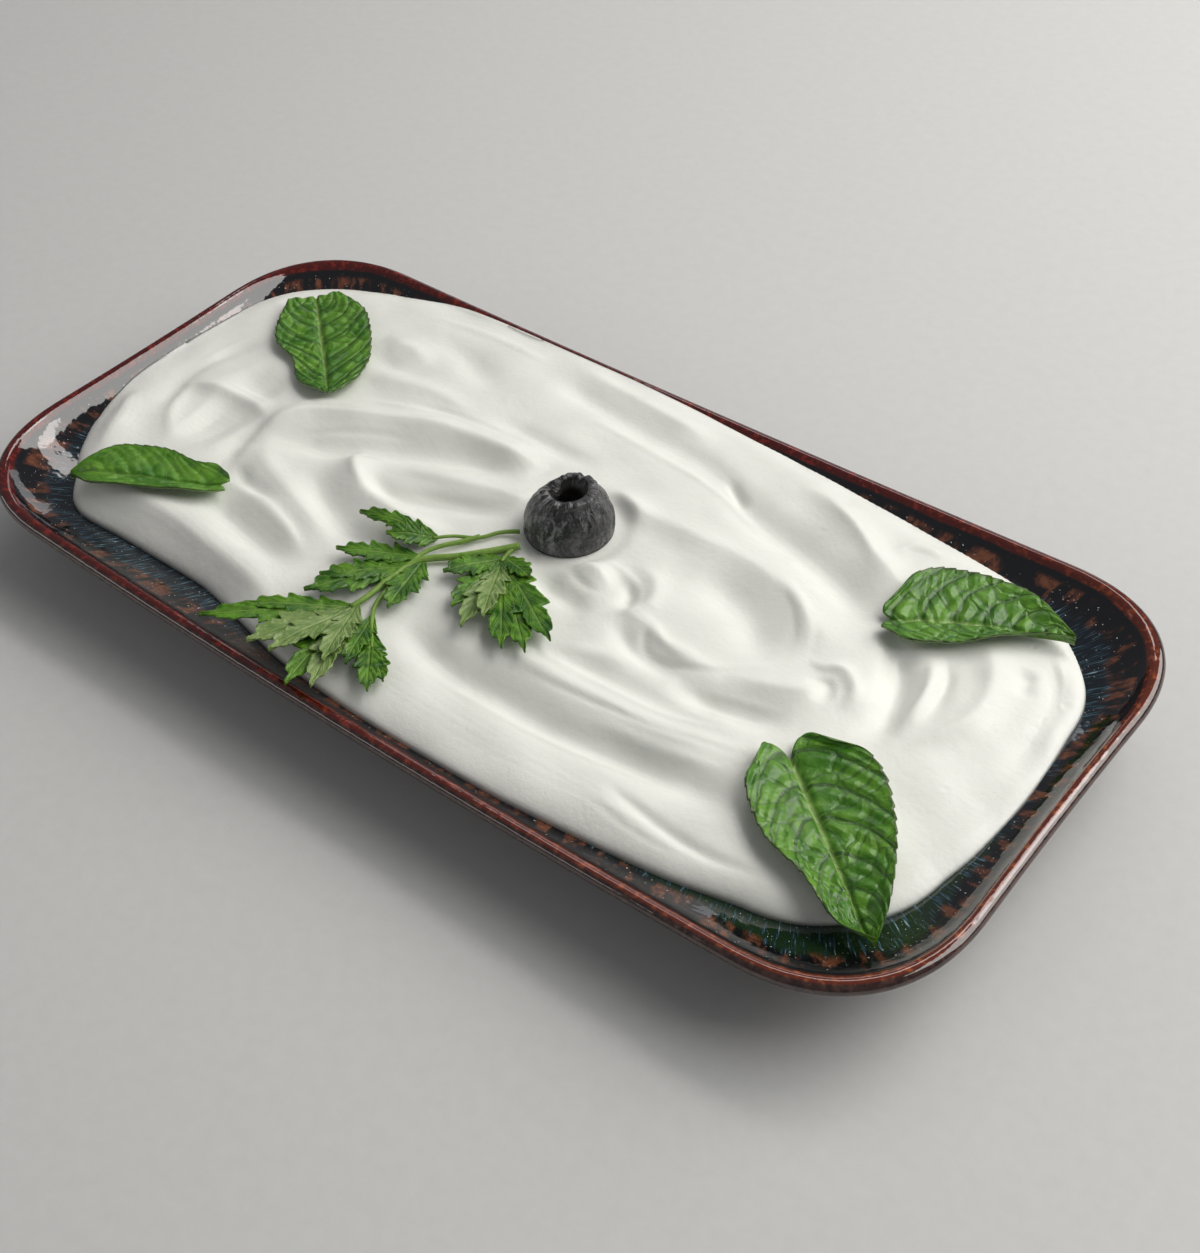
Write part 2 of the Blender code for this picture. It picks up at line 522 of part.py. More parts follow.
def plate(bm, thick):
    """Make a triangulated sheet into a thin solid below it, both faces split alike."""
    bmesh.ops.triangulate(bm, faces=bm.faces[:], quad_method="FIXED")
    if sum(f.normal.z for f in bm.faces) < 0:
        bmesh.ops.reverse_faces(bm, faces=bm.faces[:])
    bm.normal_update()
    bmesh.ops.solidify(bm, geom=bm.faces[:], thickness=thick)


def leaf_place(base, tip, left, right, bow, lobe, s, t):
    """Plan position on a leaf: s runs 0 to 1 from base to tip, t from -1 to 1 across."""
    length = math.dist(base, tip)
    ax, ay = (tip[0] - base[0]) / length, (tip[1] - base[1]) / length
    at = np.linspace(0, 1, len(left))
    fine = np.linspace(0, 1, 41)
    wide = [np.interp(s, fine, spline([(a, w) for a, w in zip(at, side)], 8)[:, 1]) for side in (left, right)]
    half = np.where(t > 0, wide[0], wide[1]) * smooth_step(0.62 + s * 4)
    out = bow * 4 * s * (1 - s) + t * half
    run = (s - lobe * np.sin(math.pi * np.abs(t)) * (1 - s) ** 4) * length
    x, y = base[0] + ax * run - ay * out, base[1] + ay * run + ax * out
    return true_place(x, y, TOPPING_Z)


def make_leaf(home, mat, name, base, tip, left, right, bow, lobe, fold, rise):
    def place(i, j):
        s, t = i / LEAF_LONG, 2 * j / LEAF_ACROSS - 1
        x, y = leaf_place(base, tip, left, right, bow, lobe, s, t)
        low = drape_z(x, y) + GAP + LEAF_THICK + 0.1
        order = np.lexsort((j, i))
        back = np.argsort(order)
        grid = settle(low[order].reshape(LEAF_LONG + 1, LEAF_ACROSS + 1), 12).ravel()[back]
        ripple = 0.25 * (1 + np.sin(9 * s + 2.2 * t * t)) * t * t
        return x, y, grid + fold * t * t + rise * smooth_step((s - 0.6) / 0.4) + ripple

    bm = grid_mesh(LEAF_LONG, LEAF_ACROSS, place)
    plate(bm, LEAF_THICK)
    return add_object(name, bm, home, mat)


def stem_line(radius, path):
    line = spline(path, 2)
    x, y = true_place(line[:, 0], line[:, 1], TOPPING_Z - 0.5)
    low = drape_z(x, y) + GAP + radius + 0.15
    z = settle(low[:, None].repeat(3, 1), 10)[:, 1]
    return np.column_stack([x, y, z])


def make_stem(name, radius, line, home, mat):
    sides = 5
    count = len(line) - 1
    run = np.gradient(line, axis=0)
    run[:, 2] = 0
    run /= np.linalg.norm(run, axis=1)[:, None]

    def place(i, j):
        a = 2 * math.pi * i / sides
        r = radius * (1 - 0.3 * j / count)
        x = line[j, 0] - run[j, 1] * r * np.cos(a)
        y = line[j, 1] + run[j, 0] * r * np.cos(a)
        return x, y, line[j, 2] + r * np.sin(a)

    bm = grid_mesh(sides, count, place)
    bmesh.ops.remove_doubles(bm, verts=bm.verts[:], dist=0.001)
    bmesh.ops.holes_fill(bm, edges=[e for e in bm.edges if e.is_boundary], sides=0)
    return add_object(name, bm, home, mat)


def leaflet_place(joint, tip, wide, s, t):
    """Plan position on a parsley leaflet: s runs 0 to 1 from its joint to its tip, t from -1 to 1 across."""
    tx, ty = true_place(tip[0], tip[1], TOPPING_Z)
    length = math.hypot(tx - joint[0], ty - joint[1])
    ax, ay = (tx - joint[0]) / length, (ty - joint[1]) / length
    half = 0.4 + wide * np.sin(math.pi * s ** 0.8) ** 0.7 * (0.80 + LOBES * ((s * 3.4) % 1.0 - 0.35))
    side = t * half * (1 - 0.6 * smooth_step((s - 0.8) / 0.2))
    run = s * length + 0.35 * np.abs(side) * (1 - s)
    return joint[0] + ax * run - ay * side, joint[1] + ay * run + ax * side


def make_leaflet(name, spec, lines, home, mat):
    """One lobed blade, growing from the nearest stem."""
    base, tip, wide, rise, pale = spec
    bx, by = true_place(base[0], base[1], TOPPING_Z - 0.5)
    joint = min((p for line in lines for p in line), key=lambda p: math.hypot(p[0] - bx, p[1] - by))

    def place(i, j):
        s, t = j / LEAFLET_ROWS, 2 * i / LEAFLET_RAYS - 1
        x, y = leaflet_place(joint, tip, wide, s, t)
        flat = np.maximum(drape_z(x, y) + GAP + LEAFLET_THICK + 0.15, joint[2] + 0.1)
        z = flat + rise * smooth_step(s * 1.2) + (0.4 + 0.3 * pale) * t * t * s
        return x, y, np.where(j == 0, joint[2] + 0.1, z)

    bm = grid_mesh(LEAFLET_RAYS, LEAFLET_ROWS, place)
    plate(bm, LEAFLET_THICK)
    return add_object(name, bm, home, mat)


def drop_bubbles(bm):
    """Delete the closed-in shells that a union leaves between its pieces."""
    left = set(bm.faces)
    while left:
        shell, edge = set(), [left.pop()]
        while edge:
            face = edge.pop()
            shell.add(face)
            for near in (n for e in face.edges for n in e.link_faces if n in left):
                left.discard(near)
                edge.append(near)
        volume = sum(f.calc_area() * f.normal.dot(f.calc_center_median()) for f in shell)
        if volume < 0:
            bmesh.ops.delete(bm, geom=list({v for f in shell for v in f.verts}), context="VERTS")


def make_parsley(home, cutters, mat):
    """One sprig: its main stem, joined with the side stems and the leaflets."""
    lines = [stem_line(*stem) for stem in STEMS]
    parts = [make_stem(f"stem_{n}", STEMS[n][0], line, cutters, mat) for n, line in enumerate(lines)]
    parts += [make_leaflet(f"leaflet_{n}", spec, lines, cutters, mat) for n, spec in enumerate(LEAFLETS)]
    for n, part in enumerate(parts[1:]):
        mod = parts[0].modifiers.new(f"join_{n}", "BOOLEAN")
        mod.operation = "UNION"
        mod.solver = "MANIFOLD"
        mod.object = part
    bpy.context.view_layer.update()
    joined = parts[0].evaluated_get(bpy.context.evaluated_depsgraph_get())
    bm = bmesh.new()
    bm.from_mesh(joined.to_mesh())
    joined.to_mesh_clear()
    parts[0].modifiers.clear()
    for part in parts:
        part.hide_render = True
        part.display_type = "WIRE"
    bmesh.ops.scale(bm, vec=(1 / MM, 1 / MM, 1 / MM), verts=bm.verts[:])
    bmesh.ops.remove_doubles(bm, verts=bm.verts[:], dist=0.002)
    bm.normal_update()
    drop_bubbles(bm)
    return add_object("parsley_sprig", bm, home, mat)


def build():
    for obj in list(bpy.data.objects):
        bpy.data.objects.remove(obj)
    home = bpy.data.collections.new("yogurt_dip_dish")
    cutters = bpy.data.collections.new("joined_parts")
    bpy.context.scene.collection.children.link(home)
    bpy.context.scene.collection.children.link(cutters)
    cutters.hide_render = True
    make_dish(home, material("dish_glaze", COLOURS["dish"], 0.15))
    make_yogurt(home, material("yogurt_white", COLOURS["yogurt"], 0.35))
    make_olive(home, material("olive_skin", COLOURS["olive"], 0.35))
    for leaf in LEAVES:
        mat = material(leaf[0] + "_green", COLOURS["mint"], 0.5)
        make_leaf(home, mat, *leaf)
    make_parsley(home, cutters, material("parsley_green", COLOURS["parsley"], 0.5))


build()
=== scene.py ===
"""Looks for a yogurt dip in a shallow rectangular glazed dish, topped with an olive, mint and parsley.

The shapes are worked out in millimetres and become metres where a mesh is made.  The origin is the
middle of the dish's foot, +X runs along the dish, +Y to its far side and +Z up.
"""

import math

import bmesh
import bpy
import numpy as np
from mathutils import Matrix, Vector, noise


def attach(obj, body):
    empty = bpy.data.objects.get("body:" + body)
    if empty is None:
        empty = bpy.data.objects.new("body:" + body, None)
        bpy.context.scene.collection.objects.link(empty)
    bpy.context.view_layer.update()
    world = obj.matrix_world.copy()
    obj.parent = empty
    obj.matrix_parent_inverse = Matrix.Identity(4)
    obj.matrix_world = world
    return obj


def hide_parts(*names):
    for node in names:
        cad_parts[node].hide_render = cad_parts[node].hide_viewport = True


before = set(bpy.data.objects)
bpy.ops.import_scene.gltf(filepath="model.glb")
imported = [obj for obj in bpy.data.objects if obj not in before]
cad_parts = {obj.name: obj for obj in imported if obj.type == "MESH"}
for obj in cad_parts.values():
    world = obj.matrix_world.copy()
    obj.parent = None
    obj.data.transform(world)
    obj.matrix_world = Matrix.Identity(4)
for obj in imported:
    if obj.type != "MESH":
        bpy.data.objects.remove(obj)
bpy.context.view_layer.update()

bl_info = {
    "name": "Yogurt dip dish",
    "version": (1, 0, 0),
    "blender": (4, 5, 0),
    "location": "View3D > Sidebar > Yogurt dip",
    "description": "Builds a glazed dish of swirled yogurt with its olive, mint leaves and parsley",
    "category": "Object",
}

MM = 0.001

# ---------------------------------------------------------------- dish outline and section
HALF_LENGTH, HALF_WIDTH = 125.0, 58.8
CORNER, CORNER_POWER = 32.2, 2.32
BOW_LONG, BOW_SHORT = 1.34, -1.41
SIDE_SHARE, CORNER_SHARE = 0.157, 0.451
RIM_Z, RIM_SAG, LIP = 18.4, 2.65, 1.5
FLOOR_Z, WALL_RUN, WALL_TILT = 9.3, 34.0, math.radians(53.0)
LIP_SHARE, LIP_FALL = 0.2, 2.2
LIP_THICK, WALL_THICK, FOOT_INSET, FOOT_WIDTH, RECESS_Z = 3.2, 4.6, 17.0, 4.0, 4.4
# rings of the dish's mesh: counts, the lip's round in degrees, the outer wall, and the foot as (inset, z)
WALL_RINGS, LIP_RINGS, UNDER_RINGS = 32, 16, 12
LIP_FROM, LIP_TO, UNDER_START, UNDER_RUN = 37, 232, 1.6, 14
FOOT_OUTSIDE = ((-1.4, 6.4), (-0.8, 5.4), (-0.4, 3.0), (-0.2, 0.9), (0.1, 0.25), (0.6, 0.0))
FOOT_INSIDE = ((-0.5, 0.0), (0.2, 0.35), (0.6, 2.0), (0.9, 3.6), (1.5, RECESS_Z))
# distance from the lip's crest along the glaze, which its colours follow
GLAZE_START, GLAZE_SLOPE, UNDER_GLAZE, FOOT_GLAZE = 1.4, 1.12, -5.0, -8.0

# where the yogurt's edge meets the dish: (place round the loop from the middle of the +X end, inset from
# the rim).  A scratch program worked these pairs out from 52 points read on the photo, which the order
# doesn't allow in a script: report.md says so.
EDGE = ((0.01, 7.1), (0.10, 8.1), (0.18, 9.6), (0.28, 11.5), (0.34, 11.7), (0.42, 9.2), (0.47, 7.2),
        (0.52, 6.4), (0.65, 4.5), (0.77, 2.9), (0.89, 1.8), (1.00, 1.0), (1.12, 0.4), (1.35, 0.5),
        (1.42, 0.9), (1.47, 1.6), (1.52, 3.1), (1.60, 6.0), (1.66, 6.0), (1.72, 5.6), (1.84, 3.5),
        (1.97, 2.7), (2.06, 2.9), (2.14, 5.7), (2.20, 9.5), (2.25, 11.2), (2.31, 12.8), (2.36, 11.5),
        (2.41, 10.8), (2.47, 12.3), (2.66, 13.0), (2.73, 10.7), (2.86, 5.9), (2.99, 4.0), (3.11, 3.9),
        (3.23, 4.4), (3.36, 6.7), (3.45, 8.3), (3.55, 12.2), (3.61, 13.2), (3.68, 14.2), (3.77, 12.4),
        (3.85, 10.4), (3.90, 8.4))
# the mound: its height at the edge, its rise, how much of the rise is gone at the ends and sides, the
# higher far side and the lower +X end as (height, start, run), and its broad lumps
MOUND_EDGE, MOUND_RISE, END_LOSS, SIDE_LOSS, MOUND_HALF_WIDTH = 15.4, 3.1, 0.6, 0.65, 60
FAR_RISE, FAR_START, FAR_RUN = 0.9, 15, 40
END_DROP, DROP_START, DROP_RUN = 1.6, 75, 35
LUMP = 0.2
# how strokes fade towards the edge, and how the yogurt rolls down to it
EDGE_FADE, ROLL_REACH, ROLL_SLOPE, ROLL_POWER = 7.0, 2.5, 1.15, 1.8

# spoon strokes: height, width on the left and right, and the path as seen from EYE on the level SEEN_Z
EYE, SEEN_Z, TOPPING_Z = (196.0, -202.8, 266.8), 17.0, 20.0
STROKES = (
    (-2.2, 9, 9, ((-98, -9), (-90, -8), (-84, -9))),
    (-1.2, 2.5, 3.5, ((-79, 4), (-81, -5), (-80, -13), (-75, -22))),
    (-1.4, 6, 6, ((-101, 9), (-93, 7), (-86, 7))),
    (1.9, 2.6, 2.2, ((-108, -3), (-97, 0.4), (-88, 0.6), (-80, -1.5))),
    (2.0, 5, 5, ((-120, -12), (-112, -18), (-108, -25), (-106, -34))),
    (-0.7, 2, 3, ((-104, 22), (-109, 10), (-110, -2), (-104, -16))),
    (0.8, 2, 2, ((-107, -2), (-103, -12), (-95, -20))),
    (1.0, 3, 3, ((-121, 27), (-115, 33), (-113, 38))),
    (2.4, 4, 3.5, ((-78, -10), (-79, -2), (-75, 5), (-66, 10), (-55, 15), (-45, 19), (-32, 21), (-15, 22))),
    (-2.1, 4, 4, ((-76, -6), (-68, -2), (-61, 0), (-54, 4.5), (-47, 8.5), (-38, 12.5), (-28, 16),
                  (-18, 18.5))),
    (1.2, 3.5, 3.5, ((-76, 24), (-68, 26), (-55, 28.5), (-40, 27))),
    (2.4, 3, 4.5, ((-57, 5), (-54, 1), (-49, -4), (-41, -8), (-30, -9.5), (-18, -7))),
    (1.2, 4, 2.5, ((-46, 2), (-34, 5.5), (-22, 9), (-8, 12))),
    (-2.0, 2.6, 2.6, ((-49, -3), (-40, -4.5), (-32, -2), (-24, 1.5), (-12, 6))),
    (1.5, 4, 4, ((-76, -8), (-70, -13), (-62, -16), (-50, -20), (-38, -23))),
    (-1.8, 4, 4, ((-60, -8), (-50, -14), (-40, -18), (-28, -19))),
    (-0.8, 2, 2, ((-76, -17), (-68, -20.5), (-58, -22))),
    (1.0, 1.6, 2.2, ((-71, -23), (-60, -24), (-50, -26.5), (-40, -30))),
    (-1.8, 3.5, 3.5, ((-74, -30), (-62, -31), (-50, -33), (-38, -34))),
    (2.4, 5, 5, ((-100, -40), (-85, -39), (-70, -39.5), (-55, -41.5), (-34, -44))),
    (0.4, 5, 5, ((-15, -45), (5, -46), (25, -47), (50, -46), (72, -45))),
    (1.1, 3, 3, ((-82, 38), (-73, 38.5), (-64, 36.5))),
    (-0.8, 3, 3, ((-80, 32), (-70, 31), (-60, 33))),
    (-1.1, 4, 4, ((-74, 46), (-62, 45), (-52, 41), (-44, 38))),
    (1.0, 3, 2.5, ((-35, 57), (-20, 55), (-5, 53), (10, 52))),
    (-1.2, 3.5, 3.5, ((-36, 50), (-20, 48), (-5, 45.5), (10, 45), (20, 42), (28, 38))),
    (-2.2, 4.5, 4.5, ((20, 41), (34, 36), (45, 33), (56, 30), (70, 25))),
    (-0.8, 2.5, 2.5, ((-40, 30), (-20, 29.5), (-5, 29.5))),
    (2.2, 4, 3.5, ((34, 51), (45, 48), (55, 43), (61, 39), (71, 35))),
    (-0.9, 1.3, 1.3, ((19, 44), (28, 38.5))),
    (0.8, 2, 2, ((62, 43), (65, 48), (74, 49))),
    (0.9, 2.5, 2.5, ((1, 26), (8, 23), (16, 20))),
    (1.4, 4, 4, ((2, 26), (10, 23), (25, 23), (40, 23), (52, 20), (62, 15), (67, 9))),
    (-2.2, 5, 5, ((32, 14), (42, 13), (50, 9), (55, 4), (57, -1))),
    (0.7, 1.0, 1.4, ((48, 24), (55, 19), (61, 13), (64, 6))),
    (-2.2, 3, 3.2, ((74, 24), (80, 17), (84, 9), (86, 1), (84, -6))),
    (0.9, 1.8, 2, ((84, 23), (88, 15), (89.5, 7), (89, 0))),
    (-0.7, 1.6, 1.6, ((88, 24), (91.5, 14), (92, 5))),
    (1.5, 3.5, 3, ((90, 33), (96, 25), (99, 17), (98, 8), (92, -2))),
    (-0.8, 2, 2, ((101, 30), (104, 22))),
    (-0.9, 3, 3, ((103, 36), (110, 27), (112, 15), (112, 3))),
    (1.3, 2, 2, ((66, 6), (72, 8), (77, 5), (78, -1))),
    (-0.8, 1.8, 1.8, ((68, 1), (72, 3), (73, -2))),
    (2.4, 3.5, 3.5, ((6, 2), (13, 2), (21, 1))),
    (-1.7, 3.2, 3.2, ((3, -7), (12, -7), (22, -8))),
    (-1.2, 2, 2, ((21, 3), (25, 1), (26, -4))),
    (1.0, 2.2, 2.2, ((20, 9), (27, 7), (30, 1), (27, -5))),
    (1.5, 2.0, 2.0, ((26, -3), (34, -5), (41, -6.5), (52, -6))),
    (-1.1, 1.8, 2.2, ((26, -6), (33, -10.5), (41, -12), (50, -11))),
    (1.5, 3, 3, ((54, -6), (62, -4.5), (69, -1), (75, 4))),
    (-2.0, 3, 3, ((46, -14), (56, -13.5), (64, -12), (72, -8.5))),
    (1.0, 3, 3, ((20, -20), (30, -17), (40, -14))),
    (1.8, 4, 4, ((10, -26), (25, -27), (40, -26.5), (52, -26), (62, -23.5), (69, -20))),
    (-0.7, 2.5, 2.5, ((20, -22.5), (35, -20.5), (50, -19.5), (62, -17))),
    (0.9, 2.5, 2.5, ((45, -17.5), (58, -18), (70, -15))),
    (-2.2, 3.5, 3.5, ((-8, -34), (1, -35), (10, -36.5), (22, -37), (32, -37), (42, -36), (54, -34.5),
                      (64, -33), (76, -31))),
    (-0.8, 1.3, 1.3, ((52, -42), (66, -44), (78, -44.5), (90, -42))),
    (0.7, 1.5, 1.5, ((40, -31), (55, -30), (70, -26))),
)
# reach of a stroke in widths, its tapered ends, the section's power on ridges and troughs, faint lines
STROKE_REACH, TAPER_SHARE, TAPER_LENGTH, TAPER_START = 3.2, 0.45, 13.0, 0.15
RIDGE_POWER, TROUGH_POWER = 1.5, 2.0
LINE_HEIGHT, LINE_ACROSS, LINE_ALONG = 0.03, 4.0, 0.15

# fine creases, like STROKES, and pits left by burst bubbles as (x, y, radius, depth) seen from EYE
CREASES = (
    (0.35, 0.7, 0.9, ((-101, 3), (-92, 3.6), (-84, 2.5))),
    (0.3, 0.8, 0.8, ((-109, 20), (-111, 12), (-112, 4))),
    (0.35, 0.9, 0.9, ((-80, 2), (-77, 9), (-70, 14.5), (-61, 19), (-50, 22))),
    (-0.3, 0.8, 0.8, ((-72, -1), (-64, 5), (-56, 9.5), (-47, 13))),
    (0.45, 0.7, 1.0, ((-55, 4), (-54, 0), (-50, -4), (-43, -7.5))),
    (0.3, 0.7, 0.7, ((-71, -22.5), (-60, -23), (-50, -25.5), (-42, -29))),
    (-0.3, 0.7, 0.7, ((-60, 22), (-40, 25.5), (-20, 26.5))),
    (-0.35, 0.8, 0.8, ((-38, -1.5), (-28, 2), (-16, 6.5))),
    (0.3, 0.9, 0.9, ((-78, 52), (-60, 54), (-40, 53.5))),
    (0.3, 0.8, 0.8, ((-20, 43), (0, 41), (20, 38.5), (38, 33))),
    (-0.35, 0.6, 0.8, ((18, 44.5), (22, 42), (27, 38.5))),
    (0.4, 0.7, 1.0, ((42, 48), (50, 45.5), (57, 41), (62, 37))),
    (0.45, 0.6, 1.0, ((48, 23), (54, 18), (60, 11.5), (62.5, 5))),
    (-0.4, 0.6, 0.7, ((50, 20.5), (56, 15.5), (61, 9))),
    (0.4, 0.7, 0.7, ((64, 8), (69, 6.5), (73, 8.5), (77, 6), (78.5, 1))),
    (0.35, 0.6, 0.6, ((68, 3), (72, 5), (75, 2), (75.5, -3))),
    (0.4, 0.7, 0.7, ((84, 22), (88, 14), (88.5, 6), (86.5, 0))),
    (-0.35, 0.7, 0.7, ((86, 24), (90, 18), (91.5, 10))),
    (0.3, 0.7, 0.7, ((103, 38), (108, 31), (111, 24))),
    (-0.5, 0.8, 0.9, ((29, -5), (34, -5.5), (37, -9.5), (43, -10.5), (51, -7.5))),
    (0.4, 0.7, 0.7, ((28, -2), (35, -3.5), (40, -7), (48, -7.5), (56, -2), (61, 3))),
    (0.45, 0.8, 0.8, ((12, 5.5), (20, 5.5), (26, 2.5), (28, -3), (23, -6.5))),
    (-0.45, 0.7, 0.8, ((9, 1), (12, -1.5), (17, -2.5), (20, -1.5))),
    (0.3, 0.7, 0.7, ((50, -12), (60, -10), (70, -7.5))),
    (0.3, 0.6, 0.6, ((52, -16.5), (62, -14), (70, -12))),
    (0.35, 0.8, 0.8, ((15, -23.5), (35, -23), (52, -22), (66, -18))),
    (-0.3, 0.7, 0.7, ((20, -29.5), (40, -28), (58, -25), (70, -21))),
    (0.35, 0.7, 0.7, ((5, -40), (22, -40.5), (42, -39), (60, -36))),
    (-0.25, 0.6, 0.6, ((50, -46.5), (64, -48), (78, -47))),
)
PITS = (
    (111.8, 26, 1.1, 0.45), (109.6, 20.3, 0.5, 0.3), (100, 16, 0.6, 0.3), (99, 36, 0.5, 0.3),
    (104, -6, 0.5, 0.25), (92, -14, 0.4, 0.25), (97, 5, 0.4, 0.2), (46, 40.5, 0.5, 0.25), (-51, 54, 0.7, 0.3),
    (-58, 21, 0.6, 0.25), (-44, -47, 0.8, 0.3), (10, 13, 0.4, 0.2), (68, -37, 0.4, 0.2), (-70, 42, 0.4, 0.2),
)
PIT_RIM, PIT_RIM_AT, PIT_RIM_WIDTH = 0.5, 1.3, 0.35

OLIVE_AT, OLIVE_RADIUS, OLIVE_HEIGHT, OLIVE_HOLE = (2.2, 9.0), 9.8, 11.6, 2.8
# the flat pad under the olive: its radius, how far it sinks below the mound, and its blend
OLIVE_PAD, PAD_SINK, PAD_INSIDE, PAD_BLEND, PAD_GAP = 12.6, 0.5, 1.5, 4.0, 0.05
WRINKLE, RAGGED, NICK_DEPTH, NICK_WIDTH = 0.24, 1.2, 1.3, 0.35

# leaves: base and tip as seen from EYE, half widths on the left and right from base to tip, bow of the
# midrib, how far the base lobes reach back, rise of the margins and of the tip
LEAVES = (
    ("mint_leaf_back", (-77, 14), (-109.5, 42), (3, 7, 7.5, 11, 10, 7), (5, 10, 12, 12.5, 11.5, 6),
     0, 0.0, 0.8, 0.4),
    ("mint_leaf_left", (-73.5, -24.5), (-105, -41.5), (4.5, 4.5, 5, 5, 4.6, 0.3), (6, 7, 10.3, 10.7, 9, 0.3),
     0.6, 0.06, 1.4, 0.8),
    ("mint_leaf_right", (72, 27), (104, 44), (8, 14, 13.7, 11.7, 8.5, 0.3), (6.5, 7.5, 6.6, 4.2, 1.2, 0.3),
     1.5, 0.06, 1.6, 1.0),
    ("mint_leaf_front", (76.5, -16), (112, -42), (12, 15, 13.8, 10.8, 6.3, 0.3),
     (9.5, 11.3, 10.8, 7.3, 5.2, 0.3), 0.0, 0.10, 2.4, 1.2),
)
GAP, LEAF_GAP, LEAF_THICK, LEAFLET_THICK, LOBES = 0.3, 0.35, 0.5, 0.45, 0.55
# mint: teeth and side veins along a leaf, and how the veins lean and curl towards the tip
MINT_TEETH, TOOTH_DEPTH, VEINS, VEIN_LEAN, VEIN_CURL = 15, 0.035, 6.0, 0.10, 0.18
# parsley: teeth, lobes and side veins along a leaflet, and how the veins lean
PARSLEY_TEETH, PARSLEY_LOBES, PARSLEY_VEINS, PARSLEY_LEAN = 10.2, 3.4, 6.8, 0.25
# parsley as seen from EYE: stems as (radius, path), leaflets as (base, tip, half width, rise, 1 if its
# pale underside shows)
STEMS = (
    (0.85, ((-3.5, -1), (-7, -5.5), (-12, -11), (-18, -17), (-19.3, -24), (-19.5, -31), (-20.3, -35.5))),
    (0.55, ((-18.7, -22.5), (-17, -31), (-14.7, -35), (-11, -39), (-8, -42))),
    (0.5, ((-7, 3), (-10, 0), (-12.5, -4), (-17, -7), (-20, -10.5))),
    (0.6, ((-12.5, -3.7), (-14.5, -7), (-17.4, -11.2), (-19, -15), (-19.3, -18.5))),
    (0.6, ((-4, -1.2), (-4.2, -4), (-3.6, -7))),
)
LEAFLETS = (
    ((-19, -9.7), (-38.5, -14), 1.5, 1.0, 0), ((-19, -10), (-28.5, -16), 2.7, 1.6, 0),
    ((-19.2, -16), (-35, -25), 2.5, 1.0, 0), ((-19.3, -19), (-31, -38.5), 3.8, 1.4, 0),
    ((-19.3, -19.5), (-32, -33), 2.8, 1.0, 0), ((-20.3, -35.4), (-42.7, -57.4), 3.0, 2.6, 0),
    ((-20.2, -35), (-38, -49), 2.2, 2.0, 0), ((-20.1, -35.4), (-28.5, -57), 3.8, 2.8, 1),
    ((-20, -35.2), (-22.5, -56.5), 3.2, 3.2, 1), ((-19.9, -35), (-14.4, -60), 3.6, 1.6, 0),
    ((-19.8, -34.8), (-9, -58), 3.2, 2.4, 1), ((-19.7, -34), (-11.5, -52), 2.6, 3.0, 1),
    ((-15.2, -34.6), (-8.4, -49), 2.2, 2.0, 0), ((-12, -38), (0, -51.5), 2.5, 1.4, 0),
    ((-9, -41), (0.5, -47.5), 1.8, 1.2, 0), ((-17, -16.5), (-13, -32), 3.2, 1.0, 0),
    ((-4.1, -5.5), (-10.5, -17.5), 3.0, 1.8, 0), ((-3.9, -6), (-2.3, -24), 3.2, 1.4, 0),
    ((-3.7, -6.5), (4, -28), 2.6, 2.2, 1), ((-3.6, -7), (6.5, -24), 2.6, 3.0, 1),
    ((-3.6, -6.8), (15, -28), 3.4, 1.8, 0), ((-3.7, -6.6), (19.5, -26), 3.2, 1.2, 0),
    ((-3.8, -6), (21.5, -20.5), 3.2, 1.6, 0), ((-4, -5), (5, -7.5), 2.0, 1.0, 0),
)


# ---------------------------------------------------------------- shapes shared by the pieces
def smooth_step(t):
    t = np.clip(t, 0, 1)
    return t * t * (3 - 2 * t)


def rim_point(loop, inset=0.0):
    """Plan position round the outline; loop runs 0 to 4 from the middle of the +X end, by +Y."""
    loop = np.asarray(loop, float) % 4.0
    quarter = np.floor(loop).astype(int)
    share = np.where(quarter % 2 == 0, loop - quarter, 1.0 - (loop - quarter))
    side_x = np.where((quarter == 1) | (quarter == 2), -1.0, 1.0)
    side_y = np.where(quarter >= 2, -1.0, 1.0)
    a, b = HALF_LENGTH - inset, HALF_WIDTH - inset
    r = CORNER - 0.6 * inset
    turn = 0.5 * math.pi * np.clip((share - SIDE_SHARE) / (CORNER_SHARE - SIDE_SHARE), 0, 1)
    x = a - r + r * np.cos(turn).clip(0, 1) ** (2 / CORNER_POWER)
    y = b - r + r * np.sin(turn).clip(0, 1) ** (2 / CORNER_POWER)
    y = np.where(share < SIDE_SHARE, (b - r) * share / SIDE_SHARE, y)
    x = np.where(share > CORNER_SHARE, (a - r) * (1 - share) / (1 - CORNER_SHARE), x)
    y = y * (1 + BOW_LONG / b * (1 - (x / a) ** 2))
    x = x * (1 + BOW_SHORT / a * (1 - (y / b) ** 2))
    return side_x * x, side_y * y


def rim_z(x):
    return RIM_Z - RIM_SAG * (1 - np.clip(x / HALF_LENGTH, -1, 1) ** 2)


def wall_z(inset, x):
    """Height of the inner face at an inset from the rim centreline: the lip's round top, then the slope."""
    start = LIP * math.sin(WALL_TILT)
    inset = np.asarray(inset, float)
    away = np.maximum(inset - start, 0)
    share = (1 - LIP_SHARE) * (1 - np.minimum(away / (WALL_RUN - start), 1)) ** 2
    share = share + LIP_SHARE * np.exp(-away / LIP_FALL)
    crest = rim_z(x) + LIP * math.cos(WALL_TILT)
    top = rim_z(x) + np.sqrt(LIP ** 2 - np.minimum(np.abs(inset), start) ** 2)
    return np.where(inset < start, top, FLOOR_Z + (crest - FLOOR_Z) * share)


